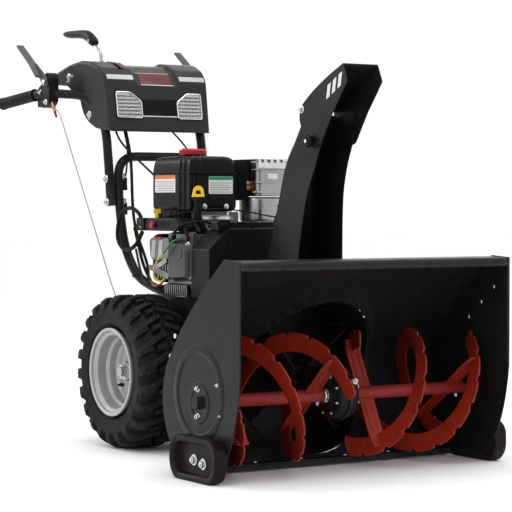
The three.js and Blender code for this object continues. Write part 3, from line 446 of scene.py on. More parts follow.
def surface(name, slot, colour, roughness, metallic=0.0, mottle=0.2, mottle_scale=9.0, rough_spread=0.07,
            grain=900.0, grain_strength=0.12, grain_depth=0.0002, stretch=None, coat=0.0, dust=0.0,
            worn=None, level=0.1, cells=0.0, dents=0.0):
    """A procedural finish: colour drift, uneven gloss, fine grain, and worn edges or dust where asked."""
    nodes = Nodes(name)
    shader = nodes.shader
    drift = nodes.noise(mottle_scale, 5.0)
    tone = nodes.mix(nodes.between(drift, 0.3, 0.7, 0.0, 1.0), shade(colour, 1 - mottle),
                     shade(colour, 1 + mottle))
    gloss = nodes.between(nodes.noise(mottle_scale * 3.1, 6.0), 0.3, 0.7, roughness - rough_spread,
                          roughness + rough_spread)
    if dust:
        film = nodes.between(nodes.noise(34.0, 8.0, rough=0.7), 0.5, 0.85, 0.0, dust)
        tone = nodes.mix(film, tone, (0.35, 0.34, 0.33, 1.0))
    if worn:
        edge = nodes.add("ShaderNodeNewGeometry").outputs["Pointiness"]
        rub = nodes.math("MULTIPLY", nodes.between(edge, 0.53, 0.62, 0.0, 1.0),
                         nodes.between(nodes.noise(60.0, 6.0), 0.35, 0.6, 0.2, 1.0))
        tone = nodes.mix(rub, tone, tuple(worn) + (1.0,))
    nodes.feed(shader.inputs["Base Color"], tone)
    nodes.feed(shader.inputs["Roughness"], gloss)
    shader.inputs["Metallic"].default_value = metallic
    shader.inputs["Specular IOR Level"].default_value = level
    if coat:
        shader.inputs["Coat Weight"].default_value = coat
        shader.inputs["Coat Roughness"].default_value = 0.12
    normal = nodes.bump(nodes.noise(grain, 3.0, stretch), grain_strength, grain_depth)
    if cells:
        pits = nodes.add("ShaderNodeTexVoronoi", Vector=nodes.place, Scale=cells)
        pits.feature = "SMOOTH_F1"
        normal = nodes.bump(pits.outputs["Distance"], 0.5, 0.0006, normal)
    if dents:
        normal = nodes.bump(nodes.noise(dents, 2.0), 0.35, 0.0008, normal)
    nodes.feed(shader.inputs["Normal"], normal)
    return nodes.material, slot


BLACK = (0.010, 0.010, 0.0105)
PAINT = surface("black_powder_coat", "black_paint", BLACK, 0.32, mottle=0.12, grain=520,
                grain_strength=0.10, dust=0.03, worn=(0.05, 0.05, 0.052), level=0.12)
# Near-black stand-in for holes, slots and vents: painted shade where the openings would look dark
HOLE_SHADE = surface("painted_hole_shade", "black_paint", (0.005, 0.005, 0.005), 0.45, mottle=0.2, grain=520,
                dust=0.02, level=0.15)
RED = surface("red_auger_paint", "red_paint", (0.24, 0.015, 0.005), 0.38, mottle=0.22, grain=600,
              worn=(0.32, 0.07, 0.055), dust=0.02, coat=0.05, level=0.2)
# The auger's red paint darkened to near black: painted shade for the impeller deep in the drum, with worn
# edges on top
SHADED_RED = surface("worn_red_paint_with_painted_shade", "red_paint", (0.026, 0.007, 0.006), 0.45, mottle=0.3, grain=500,
                   worn=(0.08, 0.07, 0.07))
RED_TUBE = surface("red_tube_paint", "red_paint", (0.24, 0.024, 0.022), 0.3, mottle=0.15, coat=0.1)
SHOE = surface("shoe_plastic", "shoe_plastic", (0.010, 0.006, 0.006), 0.42, mottle=0.25, grain=700,
               dust=0.03)
ZINC = surface("zinc_plate", "steel", (0.62, 0.62, 0.60), 0.28, metallic=1.0, mottle=0.12, mottle_scale=40,
               grain=500)
STEEL = surface("turned_steel", "steel", (0.42, 0.42, 0.42), 0.33, metallic=1.0, mottle=0.15,
                mottle_scale=25, grain=240, stretch=(8, 1, 1))
CHROME = surface("chrome", "steel", (0.82, 0.83, 0.84), 0.08, metallic=1.0, mottle=0.04, rough_spread=0.03)
SILVER = surface("silver_rim_paint", "silver_paint", (0.40, 0.405, 0.41), 0.36, metallic=0.45, mottle=0.07,
                 grain=1400, dust=0.05)
HAMMER = surface("hammered_lever_paint", "silver_paint", (0.085, 0.085, 0.085), 0.36, metallic=0.3,
                 mottle=0.15, cells=380.0)
CAST = surface("cast_aluminium", "cast", (0.19, 0.185, 0.18), 0.48, metallic=0.75, mottle=0.25, grain=420,
               grain_strength=0.5, grain_depth=0.0006, dust=0.08)
CAST_BLACK = surface("black_casting", "cast_black", (0.014, 0.014, 0.015), 0.36, mottle=0.2, grain=300,
                     grain_strength=0.4, grain_depth=0.0006, worn=(0.09, 0.09, 0.09))
TYRE = surface("tyre_rubber", "tyre", (0.011, 0.011, 0.011), 0.62, mottle=0.25, mottle_scale=14, grain=420,
               grain_strength=0.3, grain_depth=0.0004, dust=0.07)
RUBBER = surface("black_rubber", "rubber", (0.008, 0.008, 0.008), 0.55, mottle=0.2, grain=700,
                 grain_strength=0.25)
PLASTIC = surface("black_plastic", "black_plastic", (0.008, 0.008, 0.0085), 0.36, mottle=0.1, grain=1500,
                  grain_strength=0.3)
DASH = surface("dash_plastic", "black_plastic", (0.021, 0.021, 0.022), 0.30, mottle=0.1, grain=1600,
               grain_strength=0.25, level=0.16)
TANK = surface("tank_plastic", "black_plastic", (0.004, 0.004, 0.004), 0.24, mottle=0.1, grain=260,
               grain_strength=0.12, dust=0.03)
CAP_RED = surface("cap_red", "red_plastic", (0.38, 0.022, 0.03), 0.30, mottle=0.1, grain=900)
YELLOW = surface("yellow_plastic", "yellow_plastic", (0.78, 0.52, 0.02), 0.32, mottle=0.08, grain=900)
BRIGHT = surface("bright_steel", "bright_steel", (0.33, 0.33, 0.325), 0.28, metallic=1.0, mottle=0.12,
                 mottle_scale=18, grain=160, grain_strength=0.03, stretch=(1, 1, 9))
HEAD = surface("valve_cover_metal", "cast", (0.075, 0.075, 0.076), 0.36, metallic=0.8, mottle=0.25,
               grain=300)
WHITE = surface("white_film", "lens", (0.66, 0.66, 0.65), 0.4, mottle=0.03, grain=400)
ORANGE = surface("orange_film", "lens", (0.72, 0.16, 0.03), 0.4, mottle=0.05, grain=400)
GREEN = surface("green_film", "lens", (0.02, 0.24, 0.12), 0.4, mottle=0.05, grain=400)
WIRE_RED = surface("red_wire", "rubber", (0.42, 0.02, 0.02), 0.4, mottle=0.08)
WIRE_YELLOW = surface("yellow_wire", "rubber", (0.55, 0.50, 0.04), 0.4, mottle=0.08)
WIRE_GREEN = surface("green_wire", "rubber", (0.05, 0.22, 0.08), 0.4, mottle=0.08)
BRASS = surface("brass", "steel", (0.50, 0.26, 0.10), 0.32, metallic=1.0, mottle=0.15)
MAROON = surface("badge_enamel", "black_plastic", (0.10, 0.012, 0.016), 0.18, mottle=0.1, coat=0.6)


def lens_look():
    """Clear ribbed plastic."""
    nodes = Nodes("clear_lens")
    shader = nodes.shader
    tint = nodes.mix(nodes.noise(60.0), (0.92, 0.93, 0.94, 1), (0.98, 0.98, 0.98, 1))
    nodes.feed(shader.inputs["Base Color"], tint)
    nodes.feed(shader.inputs["Roughness"], nodes.between(nodes.noise(200.0), 0.3, 0.7, 0.02, 0.06))
    shader.inputs["Transmission Weight"].default_value = 0.92
    shader.inputs["IOR"].default_value = 1.49
    ribs = nodes.add("ShaderNodeTexWave", Vector=nodes.place, Scale=26.0)
    nodes.feed(shader.inputs["Normal"], nodes.bump(ribs.outputs["Fac"], 0.25, 0.0008))
    return nodes.material, "lens"


LENS = lens_look()


# ---------------------------------------------------------------- auger housing
WRAP_RADIUS = 166.5
HALF_WIDTH = node_box("side_plate_left")[1].x
PLATE = 3.5
WALL_X = node_box("auger_housing")[1].x


def curve(start, control, end, steps=14):
    """A quadratic curve in the (y, z) plane."""
    start, control, end = Vector(start), Vector(control), Vector(end)
    points = []
    for k in range(steps + 1):
        t = k / steps
        points.append(tuple(start * (1 - t) ** 2 + control * 2 * t * (1 - t) + end * t ** 2))
    return points


WRAP_START = (AUGER.y + WRAP_RADIUS * math.cos(math.radians(30)), AUGER.z + WRAP_RADIUS * 0.5)
WALL_LINE = curve((66, 512), (235, 392), WRAP_START) + arc(AUGER.y, AUGER.z, WRAP_RADIUS, 30, -52, 36)[1:]


def wall_y(z):
    """How far back the housing's rear wall is at a height."""
    for (y0, z0), (y1, z1) in zip(WALL_LINE, WALL_LINE[1:]):
        if z1 <= z <= z0:
            return y0 + (y1 - y0) * (z0 - z) / max(z0 - z1, 1e-6)
    return WALL_LINE[-1][0]


def housing():
    """The bent sheet of the auger housing, with its round way into the drum, and its front hem."""
    line = [(9, 494), (5.4, 497), (4.2, 502), (5.2, 507), (9, 509.6)] + WALL_LINE
    line += [(264 + 20.5 * share, 17.6 + 31.2 * share) for share in (0.85, 0.7, 0.5, 0.35, 0.2)]
    line += [(264, 17.6), (229, 17.6)]
    drum_hole = 190
    columns = []
    steps = 60
    for i in range(steps + 1):
        x = -WALL_X + 0.2 + (2 * WALL_X - 0.4) * i / steps
        columns.append([(x, y, z) for y, z in line])
    shape = Shape()
    shape.loft(columns, closed_ends=False, loop=False)
    inside = [v for v in shape.bm.verts
              if v.co.y > AUGER.y and math.hypot(v.co.x, v.co.z - IMPELLER.z) < drum_hole - 6]
    bmesh.ops.delete(shape.bm, geom=inside, context="VERTS")
    rim = [v for v in shape.bm.verts if v.is_boundary and v.co.y > AUGER.y and abs(v.co.x) < drum_hole + 20
           and v.co.z > 19]
    for v in rim:
        reach = math.hypot(v.co.x, v.co.z - IMPELLER.z)
        v.co.x *= drum_hole / reach
        v.co.z = IMPELLER.z + (v.co.z - IMPELLER.z) * drum_hole / reach
        turn = (v.co.z - AUGER.z) / WRAP_RADIUS
        if abs(turn) < 0.86:
            v.co.y = max(v.co.y, AUGER.y + WRAP_RADIUS * math.sqrt(1 - turn * turn))
    shape.piece("housing_skin", PAINT, "frame", ["auger_housing"], thickness=PLATE, offset=1.0, sharp=50)

    hem = Shape()
    hem.tube([(-WALL_X, 8, 500), (WALL_X, 8, 500)], 5.5, 14)
    for x in (-330, -120, 120, 330):
        hem.dome((x, 40, 508.6), (0, 0, 1), 7)
    hem.piece("housing_hem", PAINT, "frame", bevel=0.4)


def plate_outline():
    """The side plate seen from the side, in (y, z)."""
    edge = [(0, 514), (68, 518)]
    edge += curve((68, 518), (240, 396), (AUGER.y + 150.4, AUGER.z + 83.4))[1:]
    edge += arc(AUGER.y, AUGER.z, 172, 29, -52, 30)[1:] + [(262, 11), (145, 6), (102, 12)]
    for k in range(1, 15):
        t = k / 15
        y = (1 - t) ** 3 * 102 + 3 * t * (1 - t) ** 2 * 50 + 3 * t * t * (1 - t) * 12
        z = (1 - t) ** 3 * 12 + 3 * t * (1 - t) ** 2 * 50 + 3 * t * t * (1 - t) * 130 + t ** 3 * 250
        edge.append((y, z))
    edge.append((0, 250))
    return edge


def ring_disc(shape, x_base, x_top, radii, centre=(183, 201)):
    """A soft raised ring pressed into a plate."""
    inner, outer = radii
    profile = [(inner - 6, x_base), (inner, x_top), (outer, x_top), (outer + 8, x_base)]
    shape.lathe(profile, "x", centre, 72, closed=True)


def side_plate(side, sign):
    """A side plate with its pressed ring, hem, bearing bolts and cap, dark discs of painted shade for its
    holes, and inner bolts.
    """
    x_out = sign * HALF_WIDTH
    x_in = sign * (HALF_WIDTH - PLATE)
    plate = Shape().prism(plate_outline(), "x", (x_in, x_out))
    plate.piece(f"end_plate_{side}", PAINT, "frame", [f"side_plate_{side}"], bevel=1.0, segments=3)

    ring = Shape()
    ring_disc(ring, x_out - sign * 0.5, x_out + sign * 2.4, (97, 110))
    ring.lathe([(30, x_out - sign * 0.5), (34, x_out + sign * 2.2), (46, x_out + sign * 2.2),
                (52, x_out - sign * 0.5)],
               "x", AUGER_LINE, 56, closed=True)
    ring.piece(f"end_plate_embossing_{side}", PAINT, "frame", bevel=1.6, segments=3, sharp=25)

    front = Shape()
    front.tube([(x_in + sign * 1.2, 2.6, z) for z in (250, 512)], 2.3, 10)
    front.piece(f"end_plate_front_hem_{side}", PAINT, "frame")

    bearing = Shape()
    for y, z in ((186, 213), (186, 147)):
        bearing.bolt((x_out, y, z), (sign, 0, 0), 11, 9, 6)
    for y, z in ((100, 227), (85, 157)):
        bearing.bolt((x_out, y, z), (sign, 0, 0), 6, 5, 3.5)
    bearing.piece(f"bearing_bolts_{side}", ZINC, "frame", bevel=0.35)
    shaft_end = node_box("auger_shaft")[1].x + 0.8
    cap = Shape().lathe([(12.8, x_out), (16, x_out), (15, sign * (shaft_end + 1.6)),
                         (0, sign * (shaft_end + 2)),
                         (0, sign * shaft_end), (12.8, sign * shaft_end)], "x", AUGER_LINE, 40,
                         closed=True)
    cap.piece(f"bearing_cap_{side}", PAINT, "frame", bevel=0.5)

    # The holes are not cut: near-black discs of painted shade stand where they are
    holes = Shape()
    for y, z in ((37, 475), (101, 421), (135, 382)):
        holes.turned_at([(0, -4.5), (5.4, -4.5), (5.4, 0.25), (0, 0.25)], (x_out, y, z), (sign, 0, 0), 20)
    holes.piece(f"plate_hole_shade_{side}", HOLE_SHADE, "frame")

    inner = Shape()
    for y, z in ((60, 440), (110, 400), (160, 360), (300, 330), (322, 280), (300, 90)):
        inner.dome((x_in, y, z), (-sign, 0, 0), 6, 2.6)
    inner.piece(f"carriage_bolts_{side}", ZINC, "frame")


def skid_shoe(side, sign):
    """A dished plastic skid shoe with two bolts, their slots drawn as thin dark plates of painted shade."""
    low, high = node_box(f"skid_shoe_{side}")
    near, far = (low.x, high.x) if sign > 0 else (high.x, low.x)
    outline = rounded([(52, 30), (76, 0), (242, 0), (264, 28), (264, 82), (242, 104), (74, 104), (52, 82)],
                      22, 5)
    middle = ((52 + 264) / 2, 52)

    def ring(x, inset):
        return [(x, middle[0] + (y - middle[0]) * (1 - inset),
                 middle[1] + (z - middle[1]) * (1 - inset * 1.9))
                for y, z in outline]

    depth = far - near
    rows = [ring(near, 0.02), ring(near + depth * 0.2, 0.0), ring(near + depth * 0.88, 0.0),
            ring(near + depth * 0.97, 0.012), ring(far, 0.04), ring(far - depth * 0.02, 0.10),
            ring(far - depth * 0.14, 0.15), ring(far - depth * 0.52, 0.19), ring(far - depth * 0.56, 0.24)]
    shoe = Shape().loft(rows)
    for v in shoe.bm.verts:
        v.co.z = max(v.co.z, 0.0)
    shoe.piece(f"skid_cup_{side}", SHOE, "frame", [f"skid_shoe_{side}"], bevel=0.8, sharp=38)

    floor_x = far - depth * 0.56
    bolts = Shape()
    for y, z in ((177, 48), (136, 42)):
        bolts.bolt((floor_x, y, z), (sign, 0, 0), 15, 14, 8)
    bolts.piece(f"shoe_bolts_{side}", ZINC, "frame", bevel=0.35)
    # Thin near-black plates of painted shade stand for the bolt slots
    slots = Shape()
    for y in (136, 177):
        slots.prism(arc(y, 58, 7, 0, 180, 8) + arc(y, 32, 7, 180, 360, 8), "x",
                    (floor_x, floor_x + sign * 0.5))
    slots.piece(f"shoe_slot_shade_{side}", HOLE_SHADE, "frame")


def scraper():
    """The bar along the housing floor."""
    low, high = node_box("scraper_bar")
    bar = Shape().prism([(low.y, 4), (259, 4), (262, 8), (262, 13.6), (low.y, 13.6)], "x", (low.x, high.x))
    bar.piece("scraper_blade", PAINT, "frame", ["scraper_bar"], bevel=0.7)
    bolts = Shape()
    for x in range(-330, 331, 132):
        bolts.dome((x, 245, 17.6 + PLATE), (0, 0, 1), 7)
    bolts.piece("scraper_bolts", ZINC, "frame")


def drum():
    """The impeller drum behind the housing."""
    low, high = node_box("impeller_drum")
    radius = (high.x - low.x) / 2
    back = high.y
    rear = Shape()
    front = 300
    rear.lathe([(0, back), (60, back), (66, back - 2), (radius - 12, back - 2), (radius - 3, back - 6),
                (radius - 0.4, back - 14), (radius - 0.4, front), (190.2, front), (190.2, back - 12),
                (0, back - 12)],
               "y", IMPELLER_LINE, 96)
    for v in rear.bm.verts:
        if v.co.y < front + 1:
            v.co.y = wall_y(v.co.z) + (0.4 if math.hypot(v.co.x, v.co.z - IMPELLER.z) > 191 else 0.0)
    rear.cut(Shape().lathe([(0, 260), (79, 260), (79, 460), (0, 460)], "z", CHUTE_LINE, 64))
    rear.piece("drum_shell", PAINT, "frame", ["impeller_drum"], bevel=0.8, sharp=40)
    bolts = Shape()
    for k in range(6):
        angle = math.radians(60 * k + 30)
        spot = (92 * math.cos(angle), back - 2, IMPELLER.z + 92 * math.sin(angle))
        bolts.bolt(spot, (0, 1, 0), 11, 10, 3)
    bolts.piece("drum_bolts", ZINC, "frame")


# ---------------------------------------------------------------- augers
RIBBON_PITCH = 330
RAKE_START = 44
RAKE_END_ANGLE = {"left": 285, "right": 180}
OUTER_RADIUS = 156
RIBBON_WIDTH = 46


def ribbon(shape, sign, end_angle):
    """A helical band whose outer edge steps in and out like a saw."""
    length = 334
    step = 2.5
    sweep = 360 * length / RIBBON_PITCH
    count = int(sweep / step)
    notch = 10
    sections = []
    for i in range(count + 1):
        angle = math.radians(end_angle - sweep * i / count)
        x = RAKE_START + length * i / count
        tooth = (i % notch) / notch
        outer = OUTER_RADIUS - (0.0 if tooth < 0.78 else 7.0)
        taper = min(1.0, i / 4 + 0.35, (count - i) / 4 + 0.35)
        outer = OUTER_RADIUS - RIBBON_WIDTH + (outer - OUTER_RADIUS + RIBBON_WIDTH) * taper
        inner = OUTER_RADIUS - RIBBON_WIDTH

        def corner(radius, offset):
            return (sign * (x + offset), AUGER.y + radius * math.cos(angle),
                    AUGER.z + radius * math.sin(angle))

        row = [corner(inner, 0), corner(outer, 0), corner(outer, 4.8), corner(inner, 4.8)]
        sections.append(row)
        if tooth + 1 / notch >= 1 or (tooth < 0.78 <= tooth + 1 / notch):
            nudge = -sweep / count * 0.25
            sections.append([turn_about_auger(p, nudge) for p in row])
    shape.loft(sections)


def turn_about_auger(point, degrees):
    """A point turned about the auger's axis."""
    t = math.radians(degrees)
    y, z = point[1] - AUGER.y, point[2] - AUGER.z
    return (point[0], AUGER.y + y * math.cos(t) - z * math.sin(t),
            AUGER.z + y * math.sin(t) + z * math.cos(t))


def rake_arm(shape, rivets, sign, x, angle):
    """A pressed arm through the tube, with two raised ribs on each face of each half."""
    reach = OUTER_RADIUS - 14
    turn = Matrix.Translation((sign * x, AUGER.y, AUGER.z)) @ Matrix.Rotation(math.radians(angle), 4, "X")
    arm = Shape()
    outline = [(-reach, -15), (-reach + 30, -21), (-26, -21), (0, -22), (26, -21), (reach - 30, -21),
               (reach, -15),
               (reach, 15), (reach - 30, 21), (26, 21), (0, 22), (-26, 21), (-reach + 30, 21), (-reach, 15)]
    arm.prism([(b, a) for a, b in outline], "z", (-2.4, 2.4))
    for half in (-1, 1):
        for k in (-1, 1):
            path = [(k * 10, half * 28, 1.2), (k * 10, half * 36, 2.8), (k * 9, half * (reach - 46), 2.8),
                    (k * 8, half * (reach - 38), 1.2)]
            arm.tube(path, 2.6, 8)
            arm.tube([(a, b, -h) for a, b, h in path], 2.6, 8)
    shape.take(arm, turn)
    studs = Shape()
    for half in (-1, 1):
        for k in (-8, 8):
            for face in (-1, 1):
                studs.dome((k, half * (reach - 12), face * 2.2), (0, 0, face), 5, 2.4)
    rivets.take(studs, turn)


def rake(side, sign):
    """One side of the auger: two ribbons, two arms, the tube, shear bolts and thrust washer."""
    end = RAKE_END_ANGLE[side]
    bands = Shape()
    ribbon(bands, sign, end)
    ribbon(bands, sign, end + 180)
    rivets = Shape()
    for x in (82, 338):
        rake_arm(bands, rivets, sign, x, end - 360 * (x - RAKE_START) / RIBBON_PITCH)
    bands.piece(f"rake_ribbons_{side}", RED, "auger_body", [f"auger_rake_{side}"], bevel=0.9, segments=2)
    rivets.piece(f"rake_rivets_{side}", RED, "auger_body")

    pipe = Shape()
    inner, outer = 46, 384
    pipe.lathe([(12.6, inner), (15.2, inner), (16, inner + 1), (16, outer - 1), (15.2, outer),
                (12.6, outer)], "x",
               AUGER_LINE, 40, closed=True)
    pipe.mirrored(sign)
    for x in (82, 338):
        pipe.take(Shape().tube([(0, -17, 0), (0, 17, 0)], 3.2, 8),
                  Matrix.Translation((sign * x, AUGER.y, AUGER.z)))
    pipe.piece(f"rake_tube_{side}", RED_TUBE, "auger_body")

    pins = Shape()
    for x in (58, 366):
        for face in (1, -1):
            pins.bolt((sign * x, AUGER.y, AUGER.z + face * 15.5), (0, 0, face), 10, 7, 6)
    pins.piece(f"shear_bolts_{side}", ZINC, "auger_body", bevel=0.3)
    flange = Shape().lathe([(12.4, 36.5), (22, 36.5), (23, 38), (23, 41), (17.5, 42.5), (17.5, 45.5),
                            (12.4, 45.5)],
                           "x", AUGER_LINE, 40, closed=True)
    flange.mirrored(sign).piece(f"thrust_washer_{side}", CHROME, "auger_body", bevel=0.3)


def gear_case():
    """The worm gear casing in the middle of the auger."""
    body = Shape()
    body.lathe([(0, -33), (30, -33), (33, -31), (50, -30), (56, -26), (59, -20), (60, -6), (60, 6),
                (59, 20), (56, 26), (50, 30), (33, 31), (30, 33), (0, 33)], "x", AUGER_LINE, 64)
    body.lathe([(0, 160), (30, 160), (36, 172), (36, 236), (33, 246), (27, 256), (26, 318), (24, 322),
                (0, 322)],
               "y", IMPELLER_LINE, 48)
    body.turned_at([(0, -20), (9, -20), (9, 0), (0, 0)], (10, 124, 214), (0, -0.9, 0.5), 20)
    body.lathe([(60, -4), (64.5, -4), (64.5, 4), (60, 4)], "x", AUGER_LINE, 64, closed=True)
    body.piece("gear_housing", CAST_BLACK, "frame", ["gear_case"], bevel=0.8, sharp=30)
    bolts = Shape()
    for k in range(8):
        angle = math.radians(45 * k + 20)
        y, z = AUGER.y + 47 * math.cos(angle), AUGER.z + 47 * math.sin(angle)
        for sign in (-1, 1):
            bolts.bolt((24.2 * sign, y, z), (sign, 0, 0), 8, 6, 7)
    bolts.bolt((10, 120, 216), (0, -0.9, 0.5), 10, 8, 6)
    bolts.lathe([(13, 33.2), (21, 33.2), (21, 35), (13, 35)], "x", AUGER_LINE, 40, closed=True)
    bolts.lathe([(13, -33.2), (21, -33.2), (21, -35), (13, -35)], "x", AUGER_LINE, 40, closed=True)
    bolts.piece("gear_housing_bolts", ZINC, "frame")


def impeller():
    """The four bladed impeller."""
    wheel = Shape()
    wheel.lathe([(10.2, 348), (24, 348), (24, 452), (10.2, 452)], "y", IMPELLER_LINE, 40, closed=True)
    for k in range(4):
        spin = Matrix.Rotation(-math.radians(38 + 90 * k), 4, "Y")
        turn = Matrix.Translation((0, 400, IMPELLER.z)) @ spin
        blade = Shape()
        outline = [(22, -2.4), (174, -2.4), (178, 0), (182, 5), (182, 19), (179.2, 19), (178.6, 7),
                   (175, 2.4), (22, 2.4)]
        blade.prism(outline, "y", (-50, 50))
        blade.prism([(22, -2.0), (60, -2.0), (60, 18), (22, 26)], "y", (42, 46))
        wheel.take(blade, turn)
    # The impeller's red is darkened as painted shade for its place inside the drum
    wheel.piece("impeller_wheel", SHADED_RED, "impeller_body", ["impeller"], bevel=1.0)


# ---------------------------------------------------------------- chute
CHUTE_HALF = 52.5
CHUTE_SECTIONS = [
    ((455, 441), (300, 441), 67.5), ((453, 515), (302, 519), 67.0), ((425, 638), (284, 655), 57.0),
    ((400, 742), (257, 733), 49.5), ((355, 808), (228, 800), 48.0), ((314, 870), (229, 822), 48.0),
]


def chute_stations(per_span=7):
    """The chute's rear line, front line and half width, from bottom to top."""
    rear = smooth_path([(0, *s[0]) for s in CHUTE_SECTIONS], per_span)
    front = smooth_path([(0, *s[1]) for s in CHUTE_SECTIONS], per_span)
    half = smooth_path([(s[2], 0, 0) for s in CHUTE_SECTIONS], per_span)
    return list(zip(rear, front, half))


def chute():
    """The chute with its base ring, ring gear, front gate and bolts."""
    rows = []
    corner = 20
    for rear, front, half in chute_stations():
        w = half.x
        along = (front - rear).normalized()
        row = [(-w, front), (-w, front * 0.66 + rear * 0.34), (-w, front * 0.33 + rear * 0.67)]
        for k in range(7):
            t = math.radians(90 * k / 6)
            row.append((-w + corner * (1 - math.cos(t)), rear + along * corner * (1 - math.sin(t))))
        row += [(-w * 0.3, rear), (w * 0.3, rear)]
        for k in range(7):
            t = math.radians(90 * (6 - k) / 6)
            row.append((w - corner * (1 - math.cos(t)), rear + along * corner * (1 - math.sin(t))))
        row += [(w, front * 0.33 + rear * 0.67), (w, front * 0.66 + rear * 0.34), (w, front)]
        rows.append([(CHUTE.x + x, p.y, p.z) for x, p in row])
    shell = Shape().loft(rows, closed_ends=False, loop=False)
    bmesh.ops.recalc_face_normals(shell.bm, faces=shell.bm.faces)
    shell.piece("chute_shell", PAINT, "chute_body", ["chute"], thickness=2.6, bevel=0.7, offset=-1.0,
                sharp=40)

    base = Shape()
    base.lathe([(66, 438.5), (100, 438.5), (100, 444.4), (84, 446), (82, 458), (66, 458)], "z",
               CHUTE_LINE, 72, closed=True)
    base.piece("chute_base_ring", PAINT, "chute_body", bevel=0.7)
    gear = Shape()
    teeth = 44
    outline = []
    for i in range(teeth):
        middle = math.radians(30) + 2 * math.pi * i / teeth
        for share, radius in ((-0.27, 104.5), (-0.22, 106.5), (-0.14, 111.8), (-0.10, 112.4), (0.10, 112.4),
                              (0.14, 111.8), (0.22, 106.5), (0.27, 104.5)):
            angle = middle + share * 2 * math.pi / teeth
            outline.append((CHUTE.x + radius * math.cos(angle), CHUTE.y + radius * math.sin(angle)))
    gear.prism(outline, "z", (438.6, 444.2))
    gear.bm.faces.ensure_lookup_table()
    gear.piece("chute_ring_gear", PLASTIC, "chute_body", bevel=0.4)

    gate = Shape().box((CHUTE.x - 66, CHUTE.x + 66), (299.6, 302.4), (444, 486))
    gate.tube([(CHUTE.x - 64, 301, 485), (CHUTE.x + 64, 301, 485)], 3, 10)
    gate.piece("chute_front_gate", PAINT, "chute_body", bevel=0.6)

    bolts = Shape()
    for sign in (-1, 1):
        for y, z, half in ((330, 470, 67.4), (425, 470, 67.4)):
            bolts.dome((CHUTE.x + sign * half, y, z), (sign, 0, 0), 6, 3)
        bolts.bolt((CHUTE.x + sign * CHUTE_HALF, TILT.y, TILT.z), (sign, 0, 0), 12, 10, 6)
    bolts.piece("chute_bolts", ZINC, "chute_body", bevel=0.3)


def deflector():
    """The tilting hood at the chute's top, with dark patches of painted shade for its slots, and three
    plain bars.
    """
    half = CHUTE_HALF
    inner = half - 2.2
    top = smooth_path([(0, 316, 886), (0, 262, 922), (0, 196, 956), (0, 130, 984)], 6)
    bottom_edge = [(110, 942), (172, 868), (222, 796), (262, 782), (300, 808), (320, 856)]
    side = rounded([(p.y, p.z) for p in top] + bottom_edge, 5, 3)
    slot_radius = math.hypot(KNOB.y - TILT.y, KNOB.z - TILT.z)
    slot_start = math.degrees(math.atan2(KNOB.z - TILT.z, KNOB.y - TILT.y)) + 3
    shape = Shape()
    for sign in (-1, 1):
        shape.prism(side, "x", sorted((sign * inner + CHUTE.x, sign * half + CHUTE.x)))
    roof = [[(CHUTE.x - half + 0.6, p.y, p.z), (CHUTE.x + half - 0.6, p.y, p.z),
             (CHUTE.x + half - 0.6, p.y - 1.4, p.z - 2.2),
             (CHUTE.x - half + 0.6, p.y - 1.4, p.z - 2.2)] for p in top]
    shape.loft(roof)
    shape.tube([(CHUTE.x - half + 1, 130.8, 982), (CHUTE.x + half - 1, 130.8, 982)], 2.6, 10)
    shape.lathe([(0, CHUTE.x - half), (5, CHUTE.x - half), (5, CHUTE.x + half), (0, CHUTE.x + half)], "x",
                (TILT.y, TILT.z), 20)
    shape.piece("deflector_shell", PAINT, "deflector_body", ["chute_deflector"], bevel=0.8, sharp=38)

    # The slots are not cut: near-black patches of painted shade stand on the side walls
    slots = Shape()
    wide = 5
    outline = arc(TILT.y, TILT.z, slot_radius + wide, slot_start, slot_start - 61, 16)
    outline += arc(TILT.y, TILT.z, slot_radius - wide, slot_start - 61, slot_start, 16)
    for sign in (-1, 1):
        x = CHUTE.x + sign * half
        slots.prism(outline, "x", sorted((x - sign * 2.6, x + sign * 0.15)))
    slots.piece("deflector_slot_shade", HOLE_SHADE, "deflector_body")

    bars = Shape()
    x = CHUTE.x - half
    for k in range(3):
        y, z = 200 - 24 * k, 900 + 12 * k
        bars.prism([(y, z), (y - 6, z + 34), (y - 20, z + 41), (y - 14, z + 7)], "x", (x - 0.35, x))
    bars.piece("deflector_bars", WHITE, "deflector_body")


def knob():
    """The knob that locks the deflector."""
    x_face = CHUTE.x - CHUTE_HALF
    grip = Shape()
    lobes = []
    for k in range(60):
        t = 2 * math.pi * k / 60
        radius = 14.2 + 1.6 * math.cos(5 * t)
        lobes.append((KNOB.y + radius * math.cos(t), KNOB.z + radius * math.sin(t)))
    grip.prism(lobes, "x", (x_face - 17, x_face - 4))
    grip.lathe([(0, x_face - 19.6), (6, x_face - 19.6), (8.5, x_face - 17), (0, x_face - 17)], "x",
               KNOB_LINE, 28)
    grip.lathe([(0, x_face - 4.2), (8, x_face - 4.2), (9, x_face - 1.2), (0, x_face - 1.2)], "x",
               KNOB_LINE, 28)
    grip.piece("knob_grip", PLASTIC, "deflector_knob_body", ["deflector_knob"], bevel=1.6, segments=3)
    stud = Shape()
    stud.lathe([(0, x_face - 20), (4.6, x_face - 20), (4.6, x_face - 17), (0, x_face - 17)], "x",
               KNOB_LINE, 18)
    stud.lathe([(0, x_face - 2), (3.2, x_face - 2), (3.2, CHUTE.x - 42), (0, CHUTE.x - 42)], "x",
               KNOB_LINE, 18)
    stud.piece("knob_stud", CHROME, "deflector_knob_body")


